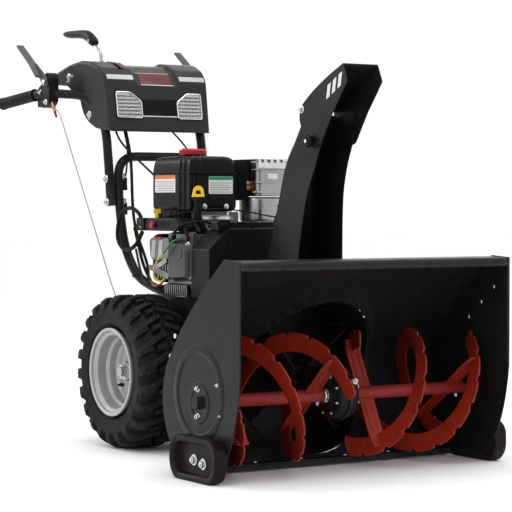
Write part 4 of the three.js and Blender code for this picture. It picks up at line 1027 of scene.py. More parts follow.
def collar():
    """The ring that the chute turns on, with its motor and clamps."""
    refined("chute_collar", PAINT, 0.8, 2)
    motor = Shape()
    motor.lathe([(0, 375), (18, 375), (21.5, 378), (22, 382), (22, 424), (20, 430), (12, 432), (0, 432)],
                "z", (PINION.x, PINION.y), 40)
    motor.piece("chute_motor", PAINT, "frame", bevel=0.6)
    clamps = Shape()
    for k in range(4):
        angle = math.radians(90 * k + 45)
        spot = (CHUTE.x + 101 * math.cos(angle), CHUTE.y + 101 * math.sin(angle), 434)
        clamps.bolt(spot, (0, 0, -1), 10, 8, 6)
    clamps.piece("collar_bolts", ZINC, "frame")


housing()
scraper()
drum()
gear_case()
impeller()
chute()
deflector()
knob()
collar()
for side, sign in SIDES:
    side_plate(side, sign)
    skid_shoe(side, sign)
    rake(side, sign)


# ---------------------------------------------------------------- wheels
WHEEL_MID = sum(node_box("tyre_left")[i].x for i in (0, 1)) / 2
LUGS = 22
CARCASS = [(118, 66), (123, 71), (127, 74), (129, 77.5), (132, 78.6), (134, 77.2), (146, 79.4), (156, 80),
           (158, 81.2), (161, 81), (163, 79), (170, 76), (180, 67), (186, 52), (188, 20)]
LONG_LUG = [(0, 8.5, (2, 184), (2, 203)), (1.5, 9, (18, 184), (18, 203)), (5, 9, (40, 184), (41, 202.6)),
            (8.5, 9.5, (58, 180), (62, 199.5)), (10, 10, (68, 172), (77, 190)),
            (10.6, 8.5, (75, 158), (81.3, 174)), (11, 6.5, (77, 144), (80.4, 152))]
MIDDLE_BLOCK = [(1, 8, (13, 184), (13, 202.6)), (3, 8, (36, 184), (36, 202))]
SHOULDER_BLOCK = [(0, 7.5, (50, 182), (51, 200.5)), (2, 8, (62, 178), (69, 195)),
                  (3, 6.5, (74, 164), (80.5, 181)), (3.4, 5, (77, 156), (80.6, 163))]


def on_wheel(x, radius, degrees):
    """A point at a radius and an angle on the left wheel."""
    t = math.radians(degrees)
    return (x, AXLE.y + radius * math.cos(t), AXLE.z + radius * math.sin(t))


def lug(shape, stations, start, hand):
    """A rubber bar following the tread over the shoulder."""
    rows = []
    for lead, half, base, top in stations:
        angle = start + lead
        row = []
        for (dx, radius), grow, ends in ((base, 1.2, (-1, 1)), (top, 0.86, (1, -1))):
            spread = math.degrees(half * grow / radius)
            row += [on_wheel(WHEEL_MID + hand * dx, radius, angle + end * spread) for end in ends]
        rows.append(row)
    shape.loft(rows)


def wheel(side, sign):
    """A snow tyre, its rim, hub, valve and axle pin."""
    tyre = Shape()
    outside = [(radius, WHEEL_MID + dx) for radius, dx in CARCASS]
    outside += [(radius, WHEEL_MID - dx) for radius, dx in reversed(CARCASS)]
    inside = ((128, -60), (174, -60), (180, 0), (174, 60), (128, 60))
    lining = [(radius, WHEEL_MID + dx) for radius, dx in inside]
    tyre.lathe(outside + lining, "x", AXLE_LINE, 110, closed=True)
    pitch = 360 / LUGS
    pits = Shape()
    for i in range(LUGS):
        for hand, shift in ((1, 0.0), (-1, pitch / 2)):
            start = i * pitch + shift
            lug(tyre, LONG_LUG, start, hand)
            lug(tyre, MIDDLE_BLOCK, start + pitch * 0.52, hand)
            lug(tyre, SHOULDER_BLOCK, start + pitch * 0.98 - 5.5, hand)
            for dx in (19, 29):
                angle = start + pitch * 0.52 + (1.5 if dx < 25 else 2.4)
                outward = Vector(on_wheel(0, 1, angle)) - Vector((0, AXLE.y, AXLE.z))
                at = Vector(on_wheel(WHEEL_MID + hand * dx, 202.2, angle))
                pits.turned_at([(1.6, -1), (1.6, 0.2), (2.9, 0.2), (2.9, -1)], at, outward, 10)
    tyre.mirrored(sign).piece(f"tyre_tread_{side}", TYRE, "axle_body", [f"tyre_{side}"], bevel=1.1,
                              segments=2)
    pits.mirrored(sign).piece(f"tread_pits_{side}", RUBBER, "axle_body")

    rim = Shape()
    face = [(116.4, 79), (114.5, 80), (110, 80), (107.5, 78), (106.5, 71), (104, 68.5), (98, 67),
            (96.5, 64),
            (95.5, 40), (93, 36), (88.5, 34), (87, 30), (85, 16), (81, 11), (74, 9), (62, 7.5), (59, 5.5),
            (40, 4),
            (26, 4), (24.5, 6), (24.5, 32), (23, 34), (13.2, 34), (13.2, -6), (30, -6), (60, -3), (78, 0),
            (84, -8), (88, -30), (95, -60), (104, -68), (107, -77), (111, -80), (116.4, -79), (116.4, -72),
            (109, -62), (100, -50), (97, -20), (97, 20), (100, 50), (109, 62), (116.4, 72)]
    rim.lathe([(radius, WHEEL_MID + dx) for radius, dx in face], "x", AXLE_LINE, 112, closed=True)
    rim.mirrored(sign).piece(f"rim_dish_{side}", SILVER, "axle_body", [f"rim_{side}"], bevel=0.6, sharp=28)

    hub = Shape()
    reach = node_box("axle")[1].x
    hub.lathe([(25.2, WHEEL_MID + 12), (25.2, WHEEL_MID + 30), (24.4, WHEEL_MID + 31),
               (24.4, WHEEL_MID + 12)], "x",
              AXLE_LINE, 48, closed=True)
    hub.turned_at([(0, 0), (4.6, 0), (4.6, 9), (3.4, 10.5), (3.4, 16), (0, 16)],
                  on_wheel(WHEEL_MID + 7.5, 70, -36), (1, 0, 0), 18)
    hub.mirrored(sign).piece(f"hub_sleeve_{side}", CAST_BLACK, "axle_body", bevel=0.3)
    pin = Shape()
    pin.lathe([(13.4, WHEEL_MID + 34.3), (21, WHEEL_MID + 34.3), (21, WHEEL_MID + 37),
               (13.4, WHEEL_MID + 37)], "x",
              AXLE_LINE, 40, closed=True)
    pin.tube([(reach - 6, AXLE.y, AXLE.z - 19), (reach - 6, AXLE.y, AXLE.z + 19)], 3, 12)
    pin.turned_at([(0, 0), (6, 0), (6, 3), (0, 3)], (reach - 6, AXLE.y, AXLE.z + 16.4), (0, 0, 1), 16)
    clip = [(reach - 6, AXLE.y + 19 * math.sin(t), AXLE.z - 1 + 19 * math.cos(t))
            for t in (math.pi * k / 16 for k in range(0, 15))]
    pin.tube(clip, 1.4, 8)
    pin.mirrored(sign).piece(f"klik_pin_{side}", ZINC, "axle_body", bevel=0.2)


# ---------------------------------------------------------------- engine
def panel(shape, axis, level, spans, thick=0.5):
    """A thin plate standing on a flat face; thick is signed."""
    (a0, a1), (b0, b1) = spans
    outline = rounded([(a0, b0), (a1, b0), (a1, b1), (a0, b1)], 2.5, 2)
    shape.prism(outline, axis, sorted((level, level + thick)))


CAP_LINE = (-52, 790)


def tank_outline(inset, flute):
    """The fuel tank from above, with flutes in its near faces."""
    low, high = node_box("fuel_tank")
    left, right, front, back = low.x, high.x, low.y, high.y
    corners = [(left, back), (left, 736), (left + flute, 732), (left + flute, 723), (left, 719),
               (left, 712),
               (left + flute, 708), (left + flute, 701), (left, 697), (left, front), (left + 12, front),
               (left + 16, front + flute), (left + 25, front + flute), (left + 29, front),
               (left + 36, front),
               (left + 40, front + flute), (left + 47, front + flute), (left + 51, front), (right, front),
               (right, back)]
    middle = Vector(((left + right) / 2, (front + back) / 2))
    wide, deep = (right - left) / 2, (back - front) / 2
    shrunk = [(middle.x + (x - middle.x) * (1 - inset / wide),
               middle.y + (y - middle.y) * (1 - inset / deep))
              for x, y in corners]
    outer = []
    for i, corner in enumerate(shrunk):
        big = i in (0, 9, 18, 19)
        piece = [shrunk[i - 1], corner, shrunk[(i + 1) % len(shrunk)]]
        outer += rounded(piece, 24 if big else 3.0, 5 if big else 2, keep=(0, 2))[1:-1]
    return outer


def tank():
    """The fuel tank with its skirt, cap, blank labels, bolts and bracket."""
    body = Shape()
    base = node_box("fuel_tank")[0].z
    rows = [(0, 14, 0), (1, 8, 0), (5, 3, 1), (12, 0.6, 3.4), (20, 0, 4), (96, 0, 4), (97.5, -0.6, 3.4),
            (98, -3.2, 2), (100, -3.4, 2), (100.6, -1.0, 3), (101.4, -1.0, 3), (102, -3.4, 2),
            (104, -3.2, 2),
            (104.6, 0, 4), (112, 0.4, 4), (128, 2.6, 4), (136, 5, 3.6), (141, 9, 2.6), (145, 15, 1.4),
            (147, 24, 0.4)]
    body.loft([[(x, y, base + up) for x, y in tank_outline(inset, flute)] for up, inset, flute in rows])
    body.lathe([(0, 764), (27, 764), (26, 767), (26, 774), (0, 774)], "z", CAP_LINE, 40)
    body.piece("tank_shell", TANK, "frame", ["fuel_tank"], bevel=0.7, sharp=32)
    skirt = Shape()
    skirt.prism(rounded([(742, 596), (876, 596), (876, 628), (742, 628)], 8, 3), "x", (-121, -108))
    for y in (756, 786, 842):
        skirt.prism(rounded([(y, 600), (y + 4, 600), (y + 4, 626), (y, 626)], 1.5, 2), "x", (-124, -120))
    skirt.prism([(-118, 596), (-70, 596), (-70, 632), (-118, 632)], "y", (728, 736))
    skirt.piece("tank_skirt", PLASTIC, "frame", bevel=1.2)

    cap_low = node_box("fuel_cap")[0].z
    cap = Shape()
    ribs = []
    for k in range(96):
        t = 2 * math.pi * k / 96
        radius = 37.4 if k % 4 < 2 else 36.2
        ribs.append((CAP_LINE[0] + radius * math.cos(t), CAP_LINE[1] + radius * math.sin(t)))
    cap.prism(ribs, "z", (777.2, 787))
    cap.lathe([(0, 786.6), (37.2, 786.6), (36.4, 788.8), (33, 790.8), (26, 791.8), (25, 790.6), (14, 790.6),
               (12, 792.8), (6, 793.8), (0, 794)], "z", CAP_LINE, 64)
    cap.prism(rounded([(-84, 785), (-20, 785), (-20, 795), (-84, 795)], 4, 4), "z", (790, 793.8))
    cap.piece("cap_cover", CAP_RED, "fuel_cap_body", ["fuel_cap"], bevel=0.9, segments=2, sharp=30)
    plug = Shape().lathe([(0, cap_low), (21, cap_low), (21, 777.4), (0, 777.4)], "z", CAP_LINE, 32)
    plug.piece("cap_plug", PLASTIC, "fuel_cap_body")

    side_x, front_y, _ = node_box("fuel_tank")[0]
    film, band, grey = Shape(), Shape(), Shape()
    panel(film, "x", side_x + 0.3, ((757, 866), (676, 722)), -0.8)
    panel(film, "y", front_y + 0.3, ((-68, 6), (672, 718)), -0.8)
    film.piece("blank_labels", WHITE, "frame")
    panel(band, "x", side_x - 0.3, ((757.5, 865.5), (712, 721.4)), -0.5)
    band.piece("label_band_side", ORANGE, "frame")
    front_band = Shape()
    panel(front_band, "y", front_y - 0.3, ((-67.5, 5.5), (708.5, 717.4)), -0.5)
    front_band.piece("label_band_front", GREEN, "frame")
    for k in range(5):
        z = 680 + 6 * k
        grey.box((side_x - 0.75, side_x - 0.4), (762, 862 - 9 * (k % 2)), (z, z + 1.6))
        grey.box((-64, 1 - 7 * (k % 2)), (front_y - 0.75, front_y - 0.4), (z - 4, z - 2.4))
    grey.piece("label_rules", CAST, "frame")

    mounts = Shape()
    for x in (-81, -14.5):
        mounts.bolt((x, 690, 638), (0, -1, 0.1), 13, 11, 13)
    mounts.piece("tank_bolts", ZINC, "frame", bevel=0.4)
    brace = Shape()
    front_arc = [(x, 676 + 14 * ((x + 41) / 55) ** 2) for x in range(-96, 15, 10)]
    brace.prism(front_arc + [(14, 716), (-96, 716)], "z", (611, 615))
    brace.prism(front_arc + [(x, y + 3) for x, y in reversed(front_arc)], "z", (604, 615))
    for x in (-90, 2):
        brace.box((x, x + 7), (704, 708), (612, 626))
    brace.piece("tank_bracket", ZINC, "frame", bevel=0.6)


def muffler():
    """The muffler with its heat shield, pot, guard and screws."""
    low, high = node_box("muffler")
    can = Shape()

    def ring(z, inset, xs=(62, 172), ys=(648, 758), radius=16):
        corners = [(xs[0] + inset, ys[0] + inset), (xs[1] - inset, ys[0] + inset),
                   (xs[1] - inset, ys[1] - inset), (xs[0] + inset, ys[1] - inset)]
        return [(x, y, z) for x, y in rounded(corners, radius, 6)]

    levels = [(666, 6), (668, 3), (673, 2.6), (674, 0.6), (677, 0.6), (678, 2.6), (700, 2.6), (701, 1.2),
              (703.5, 1.2),
              (704.5, 2.6), (733, 2.6), (734, 0.4), (737, 0.4), (738, 2.6), (756, 2.6), (760, 5), (762, 12)]
    can.loft([ring(z, inset) for z, inset in levels])
    can.piece("muffler_can", BRIGHT, "frame", ["muffler"], bevel=0.5, sharp=30)

    shield = Shape()
    shield.prism([(648.4, 740), (646.6, 742), (646.6, 764), (650, 765), (758, 765), (758, 762.6),
                  (652, 762.6), (648.4, 760)], "x", (66, 168))
    slots = Shape()
    for k in range(5):
        x = 72 + 20 * k
        slots.box((x, x + 11), (640, 672), (755, 770))
    shield.cut(slots)
    shield.prism(rounded([(96, 712), (128, 712), (128, 726), (96, 726)], 2, 2), "y", (648.6, 651))
    shield.piece("muffler_shield", ZINC, "frame", bevel=0.4, sharp=40)

    pot = Shape()
    pot_levels = [(low.z, 6), (low.z + 3, 1.5), (606, 0), (655, 0), (660, 2), (664, 7)]
    pot.loft([ring(z, inset, (54, 166), (654, 752), 44) for z, inset in pot_levels])
    pot.turned_at([(8.8, -4), (11, -4), (11, 5.6), (8.8, 5.6)], (high.x - 6, 676, 630), (1, 0, 0), 28)
    pot.piece("muffler_pot", BRIGHT, "frame", bevel=0.5, sharp=30)

    guard = Shape()
    guard.box((55, 59.6), (690, 800), (655, 764))
    guard.box((55, 66), (694, 697), (655, 764))
    guard.piece("muffler_guard", PLASTIC, "frame", bevel=0.6)
    screws = Shape()
    for z in (688, 700):
        screws.bolt((60, 688, z), (0, -1, 0), 8, 7, 5)
    screws.bolt((60, 655, 676), (-1, 0, 0), 8, 6, 4)
    screws.piece("muffler_screws", BRASS, "frame", bevel=0.3)


def belt_cover():
    """The belt cover with its ledge and ribs."""
    refined("belt_cover", PLASTIC, 3.0, 3)
    detail = Shape()
    detail.prism(rounded([(-112, 583), (104, 583), (104, 592), (-112, 592)], 2, 2), "y", (548, 612))
    detail.box((-104, 100), (545, 549), (584, 598))
    detail.prism(rounded([(-124, 578), (-90, 578), (-86, 584), (-86, 600), (-92, 604), (-120, 604),
                          (-126, 598)], 3, 3),
                 "y", (538, 572))
    detail.prism(rounded([(-120, 586), (-92, 586), (-92, 596), (-120, 596)], 2, 2), "y", (534, 538.5))
    detail.piece("belt_cover_ledge", PLASTIC, "frame", bevel=1.0)
    ribs = Shape()
    ribs.prism([(-94, 410), (-88, 410), (-88, 555), (-94, 555)], "y", (528.6, 530.6))
    ribs.prism([(88, 410), (94, 410), (94, 555), (88, 555)], "y", (528.6, 530.6))
    ribs.piece("belt_cover_ribs", PLASTIC, "frame", bevel=0.8)


def engine():
    """The engine block with valve cover, fins, heat plates, governor casting and spark lead."""
    refined("engine_block", CAST, 1.6, 2)
    head_x = node_box("valve_cover")[0].x
    cover = Shape()
    outline = rounded([(624, 446), (716, 440), (730, 452), (730, 540), (716, 552), (640, 552), (622, 534)],
                      9, 4)
    middle = (676, 497)
    levels = ((-150.4, 1.0), (-154, 1.0), (-155, 0.93), (-163, 0.88), (head_x, 0.80))
    cover.loft([scaled(outline, "x", x, middle, scale) for x, scale in levels])
    cover.turned_at([(0, -1), (15, -1), (15, 1.6), (11.5, 1.6), (10, 0.4), (0, 0.4)], (head_x, 663, 518),
                    (-1, 0, 0), 32)
    cover.piece("valve_cover_casting", HEAD, "frame", ["valve_cover"], bevel=1.2, sharp=28)
    screws = Shape()
    for y, z in ((634, 456), (718, 452), (718, 540), (640, 540)):
        screws.bolt((-153.6, y, z), (-1, 0, 0), 9, 8, 6)
    for x, y, z in ((-100, 780, 585), (-40, 790, 590), (30, 700, 580)):
        screws.bolt((x, y, z - 12), (0, 0, 1), 10, 9, 6)
    screws.piece("engine_screws", ZINC, "frame", bevel=0.3)

    fins = Shape()
    for k in range(11):
        y = 632 + 11 * k
        fins.prism(rounded([(-150, 404), (-164, 406), (-165, 434), (-150, 438)], 1.5, 2), "y", (y, y + 3.4))
    for k in range(5):
        y = 736 + 13 * k
        fins.prism(rounded([(-150, 446), (-160, 448), (-160, 486), (-150, 488)], 1.5, 2), "y", (y, y + 4))
    fins.prism(rounded([(738, 490), (796, 470), (802, 482), (742, 504)], 3, 3), "x", (-163, -150))
    fins.piece("cylinder_fins", BRIGHT, "frame", bevel=0.6)

    plate = Shape()
    plate.prism(rounded([(724, 500), (820, 496), (832, 506), (836, 548), (822, 556), (734, 556)], 6, 3),
                "x", (-160, -157.5))
    plate.prism(rounded([(716, 462), (824, 484), (828, 472), (724, 446)], 4, 3), "x", (-168, -162))
    plate.box((-158, -140), (736, 742), (505, 550))
    plate.piece("heat_plate", CAST, "frame", bevel=0.7)
    strips = Shape()
    for y in (768, 806):
        strips.prism(rounded([(y, 504), (y + 20, 502), (y + 14, 548), (y - 6, 550)], 2, 2), "x",
                     (-160.9, -159.9))
    strips.piece("blank_plates", SILVER, "frame")
    tag = Shape().box((-162, -157), (770, 800), (552, 558))
    tag.piece("red_tag", WIRE_RED, "frame", bevel=0.5)

    casing = Shape()
    casing.lathe([(0, 596), (30, 596), (38, 592), (46, 586), (48, 570), (0, 570)], "z", (-48, 720), 48)
    casing.box((-96, -6), (690, 760), (572, 584))
    casing.turned_at([(0, -14), (22, -14), (22, 0), (19, 3), (0, 3)], (-52, 692, 590), (0, -1, 0), 32)
    casing.piece("governor_casting", CAST, "frame", bevel=1.6)
    lead = Shape()
    lead.tube(smooth_path([(-168, 690, 560), (-176, 668, 575), (-160, 650, 592), (-120, 640, 600),
                           (-84, 645, 596)]), 3.6, 12)
    lead.tube([(-160, 706, 540), (-168, 690, 562)], 6.5, 16)
    lead.piece("spark_lead", RUBBER, "frame")


def wires():
    """The engine's wires, plug, loom and cables."""
    runs = (
        ("green_wire", WIRE_GREEN, 2.6, [(-158, 676, 556), (-178, 684, 545), (-182, 721, 517)]),
        ("yellow_wire", WIRE_YELLOW, 2.2,
         [(-182, 720, 518), (-181, 752, 498), (-179, 778, 474), (-177, 778, 452), (-172, 757, 441),
          (-164, 745, 448)]),
        ("red_wire", WIRE_RED, 2.6, [(-163, 744, 446), (-168, 760, 434), (-165, 790, 428), (-150, 836, 428),
                                     (-130, 880, 438)]),
        ("red_lead", WIRE_RED, 2.0, [(-136, 790, 412), (-136, 740, 408), (-134, 690, 407), (-134, 640, 408),
                                     (-130, 622, 412)]),
    )
    for name, look, radius, points in runs:
        Shape().tube(smooth_path(points), radius, 12).piece(name, look, "frame")
    plug = Shape().prism(rounded([(678, 401.5), (730, 401.5), (730, 414), (678, 414)], 3, 3), "x",
                         (-142, -129))
    plug.box((-139, -132), (666, 680), (404, 411))
    plug.piece("white_plug", WHITE, "frame", bevel=0.8)
    loom = Shape()
    loom.tube(smooth_path([(-99, 1030, 580), (-104, 975, 485), (-120, 900, 436), (-132, 850, 416),
                           (-136, 800, 408), (-136, 732, 408)]), 4.4, 14)
    loom.tube(smooth_path([(-106, 1010, 520), (-134, 925, 452), (-150, 850, 424), (-146, 800, 416),
                           (-138, 780, 414)]),
              3.2, 12)
    loom.piece("engine_loom", RUBBER, "frame")
    cables = Shape()
    cables.tube(smooth_path([(-128, 800, 612), (-132, 740, 618), (-110, 672, 628), (-60, 648, 632),
                             (0, 640, 628),
                             (60, 610, 616), (100, 540, 600), (112, 480, 560), (100, 470, 480)]), 2.0, 10)
    cables.tube(smooth_path([(96, 600, 640), (70, 540, 644), (30, 500, 620), (6, 486, 580), (8, 482, 540),
                             (30, 486, 500), (60, 500, 470)]), 2.0, 10)
    cables.piece("engine_cables", RUBBER, "frame")


def recoil():
    """The recoil starter: shroud, dark bars of painted shade for its vents, hub and handle."""
    floor = node_box("recoil_housing")[0].z
    ring = Shape()
    ring.lathe([(0, 791), (98, 791), (104, 794), (104, 842), (102, 850), (96, 857), (84, 862), (60, 865),
                (40, 868), (0, 868)], "y", CRANK_LINE, 96)
    for v in ring.bm.verts:
        v.co.z = max(v.co.z, floor)
    ring.piece("recoil_shroud", PLASTIC, "frame", ["recoil_housing"], bevel=0.6, sharp=30)
    bulge = Shape()
    outline = rounded([(-150, 436), (-60, 436), (-60, 566), (-150, 566)], 20, 6)
    centre = (-105, 501)
    levels = ((792, 1.0), (828, 1.0), (838, 0.97), (843, 0.9), (846, 0.78))
    bulge.loft([scaled(outline, "y", y, centre, scale) for y, scale in levels])
    bulge.piece("recoil_bulge", PLASTIC, "frame", bevel=0.4)
    # The vents are not cut: near-black bars of painted shade stand for them
    slots = Shape()
    for k in range(20):
        angle = 18 * k
        turn = Matrix.Translation((0, 0, 490)) @ Matrix.Rotation(math.radians(angle), 4, "Y")
        bar = Shape().loft([[(46, 866.4, -2), (46, 867.8, -2), (46, 867.8, 2), (46, 866.4, 2)],
                            [(86, 861, 14), (86, 862.4, 14), (86, 862.4, 19), (86, 861, 19)]])
        slots.take(bar, turn)
    slots.piece("recoil_vent_shade", HOLE_SHADE, "frame")
    hub = Shape().lathe([(0, 867), (24, 867), (24, 871), (21, 873), (0, 873)], "y", CRANK_LINE, 40)
    hub.piece("recoil_hub", PAINT, "frame", bevel=0.6)
    bolts = Shape()
    for angle in (40, 130, 220, 320):
        t = math.radians(angle)
        bolts.bolt((94 * math.cos(t), 858, 490 + 94 * math.sin(t)), (0, 1, 0), 9, 8, 6)
    bolts.piece("recoil_bolts", ZINC, "frame")

    handle = Shape()
    grip = rounded([(26, 531), (86, 531), (86, 549), (26, 549)], 8, 5)
    levels = ((882, 0.86), (884, 0.96), (889, 1.0), (894, 0.96), (896, 0.86))
    handle.loft([scaled(grip, "y", y, (56, 540), scale) for y, scale in levels])
    handle.turned_at([(0, -20), (3.2, -20), (3.2, 0), (0, 0)], (56, 884, 540), (0, 1, 0), 16)
    handle.piece("recoil_grip", PLASTIC, "recoil_handle_body", ["recoil_handle"], bevel=0.4)


BUTTON = (797, 590)
KEY = (-150, 812)
CHOKE = (-141, 590)


def controls():
    """The carburettor cover, switch box, start button, key, choke and throttle sleeve."""
    low, high = node_box("carburetor_cover")
    cover = Shape()
    outline = rounded([(low.y, low.z + 6), (low.y + 10, low.z), (high.y, low.z), (high.y, high.z - 8),
                       (high.y - 8, high.z), (low.y + 22, high.z), (low.y, high.z - 20)], 7, 4)
    middle = ((low.y + high.y) / 2, (low.z + high.z) / 2)

    def ring(x, inset):
        return [(x, y + (inset if y < middle[0] else -inset), z + (inset if z < middle[1] else -inset))
                for y, z in outline]

    cover.loft([ring(high.x, 0), ring(low.x + 6, 0), ring(low.x + 1.6, 1.6), ring(low.x, 5)])
    cover.box((low.x - 0.6, low.x + 3), (716, 718), (low.z + 5, high.z - 6))
    cover.box((low.x - 0.6, low.x + 3), (776, 778), (low.z + 5, high.z - 6))
    for k in range(4):
        cover.box((low.x - 0.8, low.x + 3), (730 + 9 * k, 734 + 9 * k), (low.z + 9, low.z + 25))
    cover.cut(Shape().lathe([(0, -174), (5.4, -174), (5.4, -152), (0, -152)], "x", BUTTON, 28))
    cover.cut(Shape().lathe([(0, 587), (4.4, 587), (4.4, 616), (0, 616)], "z", KEY, 24))
    cover.piece("carburetor_shell", PLASTIC, "frame", ["carburetor_cover"], bevel=1.0)
    hose = Shape().tube(smooth_path([(-150, 672, 590), (-158, 652, 584), (-156, 640, 560),
                                     (-150, 646, 548)]), 4.5, 14)
    hose.piece("breather_hose", RUBBER, "frame")
    refined("switch_box", PLASTIC, 2.4, 3)
    rockers = Shape()
    box_low, box_high = node_box("switch_box")
    for z in (box_low.z + 5, box_low.z + 19):
        rockers.box((box_low.x - 0.8, box_low.x + 1), (box_low.y + 8, box_high.y - 8), (z, z + 10))
    rockers.piece("switch_rockers", TANK, "frame", bevel=0.8)
    marks = Shape()
    marks.box((box_low.x - 1.3, box_low.x), (box_low.y + 14, box_low.y + 19),
              (box_low.z + 22, box_low.z + 26))
    marks.piece("switch_mark_red", CAP_RED, "frame")
    light = Shape()
    light.box((box_low.x - 1.3, box_low.x), (box_low.y + 14, box_low.y + 19),
              (box_low.z + 8, box_low.z + 12))
    light.piece("switch_mark_yellow", YELLOW, "frame")
    button = Shape().lathe([(0, -178), (8.2, -178), (10, -176.4), (10, -172.4), (0, -172.4)], "x", BUTTON,
                           36)
    button.lathe([(0, -172.5), (5, -172.5), (5, -157), (0, -157)], "x", BUTTON, 24)
    button.piece("start_cap", CAP_RED, "start_button_body", ["start_button"], bevel=0.5)
    refined("ignition_key", YELLOW, 0.8, 2)
    knob = Shape()
    lobes = [(CHOKE[0] + (11.4 + 0.6 * math.cos(8 * t)) * math.cos(t),
              CHOKE[1] + (11.4 + 0.6 * math.cos(8 * t)) * math.sin(t))
             for t in (2 * math.pi * k / 64 for k in range(64))]
    knob.prism(lobes, "y", (894, 907))
    knob.lathe([(0, 875), (4, 875), (4, 894.4), (0, 894.4)], "y", CHOKE, 24)
    knob.box((CHOKE[0] - 1.6, CHOKE[0] + 1.6), (906.5, 907.8), (CHOKE[1] - 10, CHOKE[1] + 10))
    knob.piece("choke_grip", PLASTIC, "choke_knob_body", ["choke_knob"], bevel=0.9)
    loop = [(903, 592), (912, 618), (954, 634), (1000, 624), (1023, 590), (1026, 551), (1000, 524),
            (960, 522), (926, 539), (900, 570)]
    ribbed = smooth_path([(-146 - 8 * math.sin(math.pi * k / 9), y, z) for k, (y, z) in enumerate(loop)],
                         10)
    sleeve = Shape().tube(ribbed, [5.2 + 0.5 * (k % 2) for k in range(len(ribbed))], 14)
    sleeve.piece("throttle_loop", RUBBER, "frame")


def dipstick():
    """The dipstick in its filler tube."""
    low, high = node_box("dipstick")
    x, y = -109, 668
    turn = Matrix.Translation((x, y - 3, 0)) @ Matrix.Rotation(math.radians(-24), 4, "Z")
    tab = Shape()
    outer = [(-15.5, 667), (-15.5, 672)] + arc(0, 679, 14, 180, 0, 14) + [(15.5, 672), (15.5, 667)]
    tab.prism(outer, "y", (-4.5, 4.5))
    tab.cut(Shape().prism(rounded([(-6, 671), (6, 671), (7, 677), (4, 681), (-4, 681), (-7, 677)], 2, 2),
                          "y", (-9, 9)))
    for v in tab.bm.verts:
        v.co.z = min(v.co.z, high.z)
    tab.prism(rounded([(-17, -6.5), (17, -6.5), (17, 6.5), (-17, 6.5)], 4, 3), "z", (663.5, 667.6))
    handle = Shape().take(tab, turn)
    handle.piece("dipstick_tab", YELLOW, "dipstick_body", ["dipstick"], bevel=1.1, segments=3)
    rod = Shape().tube([(x, y, low.z), (x, y, 664)], 3.2, 14)
    rod.piece("dipstick_rod", PLASTIC, "dipstick_body")
    neck = Shape()
    tube_path = bent([(x, 668, 660), (x, 668, 612), (-82, 672, 566), (-40, 674, 540)], 20)
    neck.tube(tube_path, 9.4, 20)
    neck.turned_at([(9, -6), (13, -6), (13, 2), (4, 2), (4, 0), (9, 0)], (x, y, 660), (0, 0, 1), 28)
    neck.turned_at([(0, 0), (12.5, 0), (12.5, 5), (0, 5)], (x, y, 628), (0, 0, 1), 28)
    neck.piece("oil_filler", PLASTIC, "frame")


for side, sign in SIDES:
    wheel(side, sign)
tank()
muffler()
belt_cover()
engine()
wires()
recoil()
controls()
dipstick()
refined("chassis", PAINT, 1.6, 2)
for node, look in (("axle", STEEL), ("hex_shaft", STEEL), ("friction_wheel", RUBBER),
                   ("friction_disc", STEEL),
                   ("auger_belt", RUBBER), ("drive_belt", RUBBER), ("crank_pulley", STEEL),
                   ("auger_shaft", STEEL), ("impeller_shaft", STEEL), ("chute_pinion", STEEL)):
    refined(node, look, 0.5)


# ---------------------------------------------------------------- handles
TUBE = 12.7
LOWER_RUN = [(107, 650, 413), (107, 890, 413), (121, 975, 445), (125, 1040, 524), (125, 1072, 640),
             (125, 1080, 778)]
UPPER_RUN = [(152, 1070, 640), (152, 1080, 738), (152, 1096, 842), (152, 1130, 905), (172, 1190, 952),
             (222, 1245, 957), (243, 1300, 962), (286, 1495.5, 936)]
CABLE_RUN = [(238, 1262, 921), (235, 1222, 904), (170, 1028, 415), (152, 1006, 345), (150, 1004, 313)]
LEVER_OUTER_X = 272
GRIP_END_Y = 1499.6


def lower_handle():
    """The lower handle loop with its bolts, ties and cable clamps."""
    run = LOWER_RUN + [(-x, y, z) for x, y, z in reversed(LOWER_RUN)]
    Shape().tube(bent(run, 60, 10), TUBE, 28).piece("lower_handle_tube", PAINT, "frame", ["lower_handle"])
    joints = Shape()
    for sign in (1, -1):
        for y, z in ((1071, 650), (1077, 715)):
            joints.bolt((sign * (152 + TUBE - 0.8), y, z), (sign, 0, 0), 13, 12, 7)
            joints.dome((sign * (125 - TUBE + 0.8), y, z), (-sign, 0, 0), 8, 4)
        for y in (690, 800):
            joints.bolt((sign * 107, y, 413 + TUBE - 0.8), (0, 0, 1), 13, 12, 6)
    joints.piece("handle_bolts", ZINC, "frame", bevel=0.4)
    ties = Shape()
    for sign, spots in ((1, ((1052, 567, 13.6), (1075, 690, 13.6))),
                        (-1, ((976, 449, 13.8), (1075, 690, 13.6)))):
        for y, z, radius in spots:
            x = 121 if y < 980 else 125
            ties.turned_at([(12.9, -2.5), (radius, -2.5), (radius, 2.5), (12.9, 2.5)], (sign * x, y, z),
                           (0, 0.35, 1), 28)
    ties.piece("cable_ties", RUBBER, "frame", bevel=0.3)
    clamps, metal = Shape(), Shape()
    for low, high in ((684, 728), (616, 658)):
        clamps.tube([(-106, 1070, low), (-106, 1073, low + 16), (-105, 1074, high - 10)], 6.2, 18)
        metal.turned_at([(0, 0), (4.8, 0), (4.8, 14), (3.6, 16), (0, 16)], (-105, 1074, high - 12),
                        (0, 0.1, 1), 20)
    clamps.piece("cable_clamps", RUBBER, "frame", bevel=0.8)
    metal.piece("cable_ferrules", ZINC, "frame", bevel=0.4)


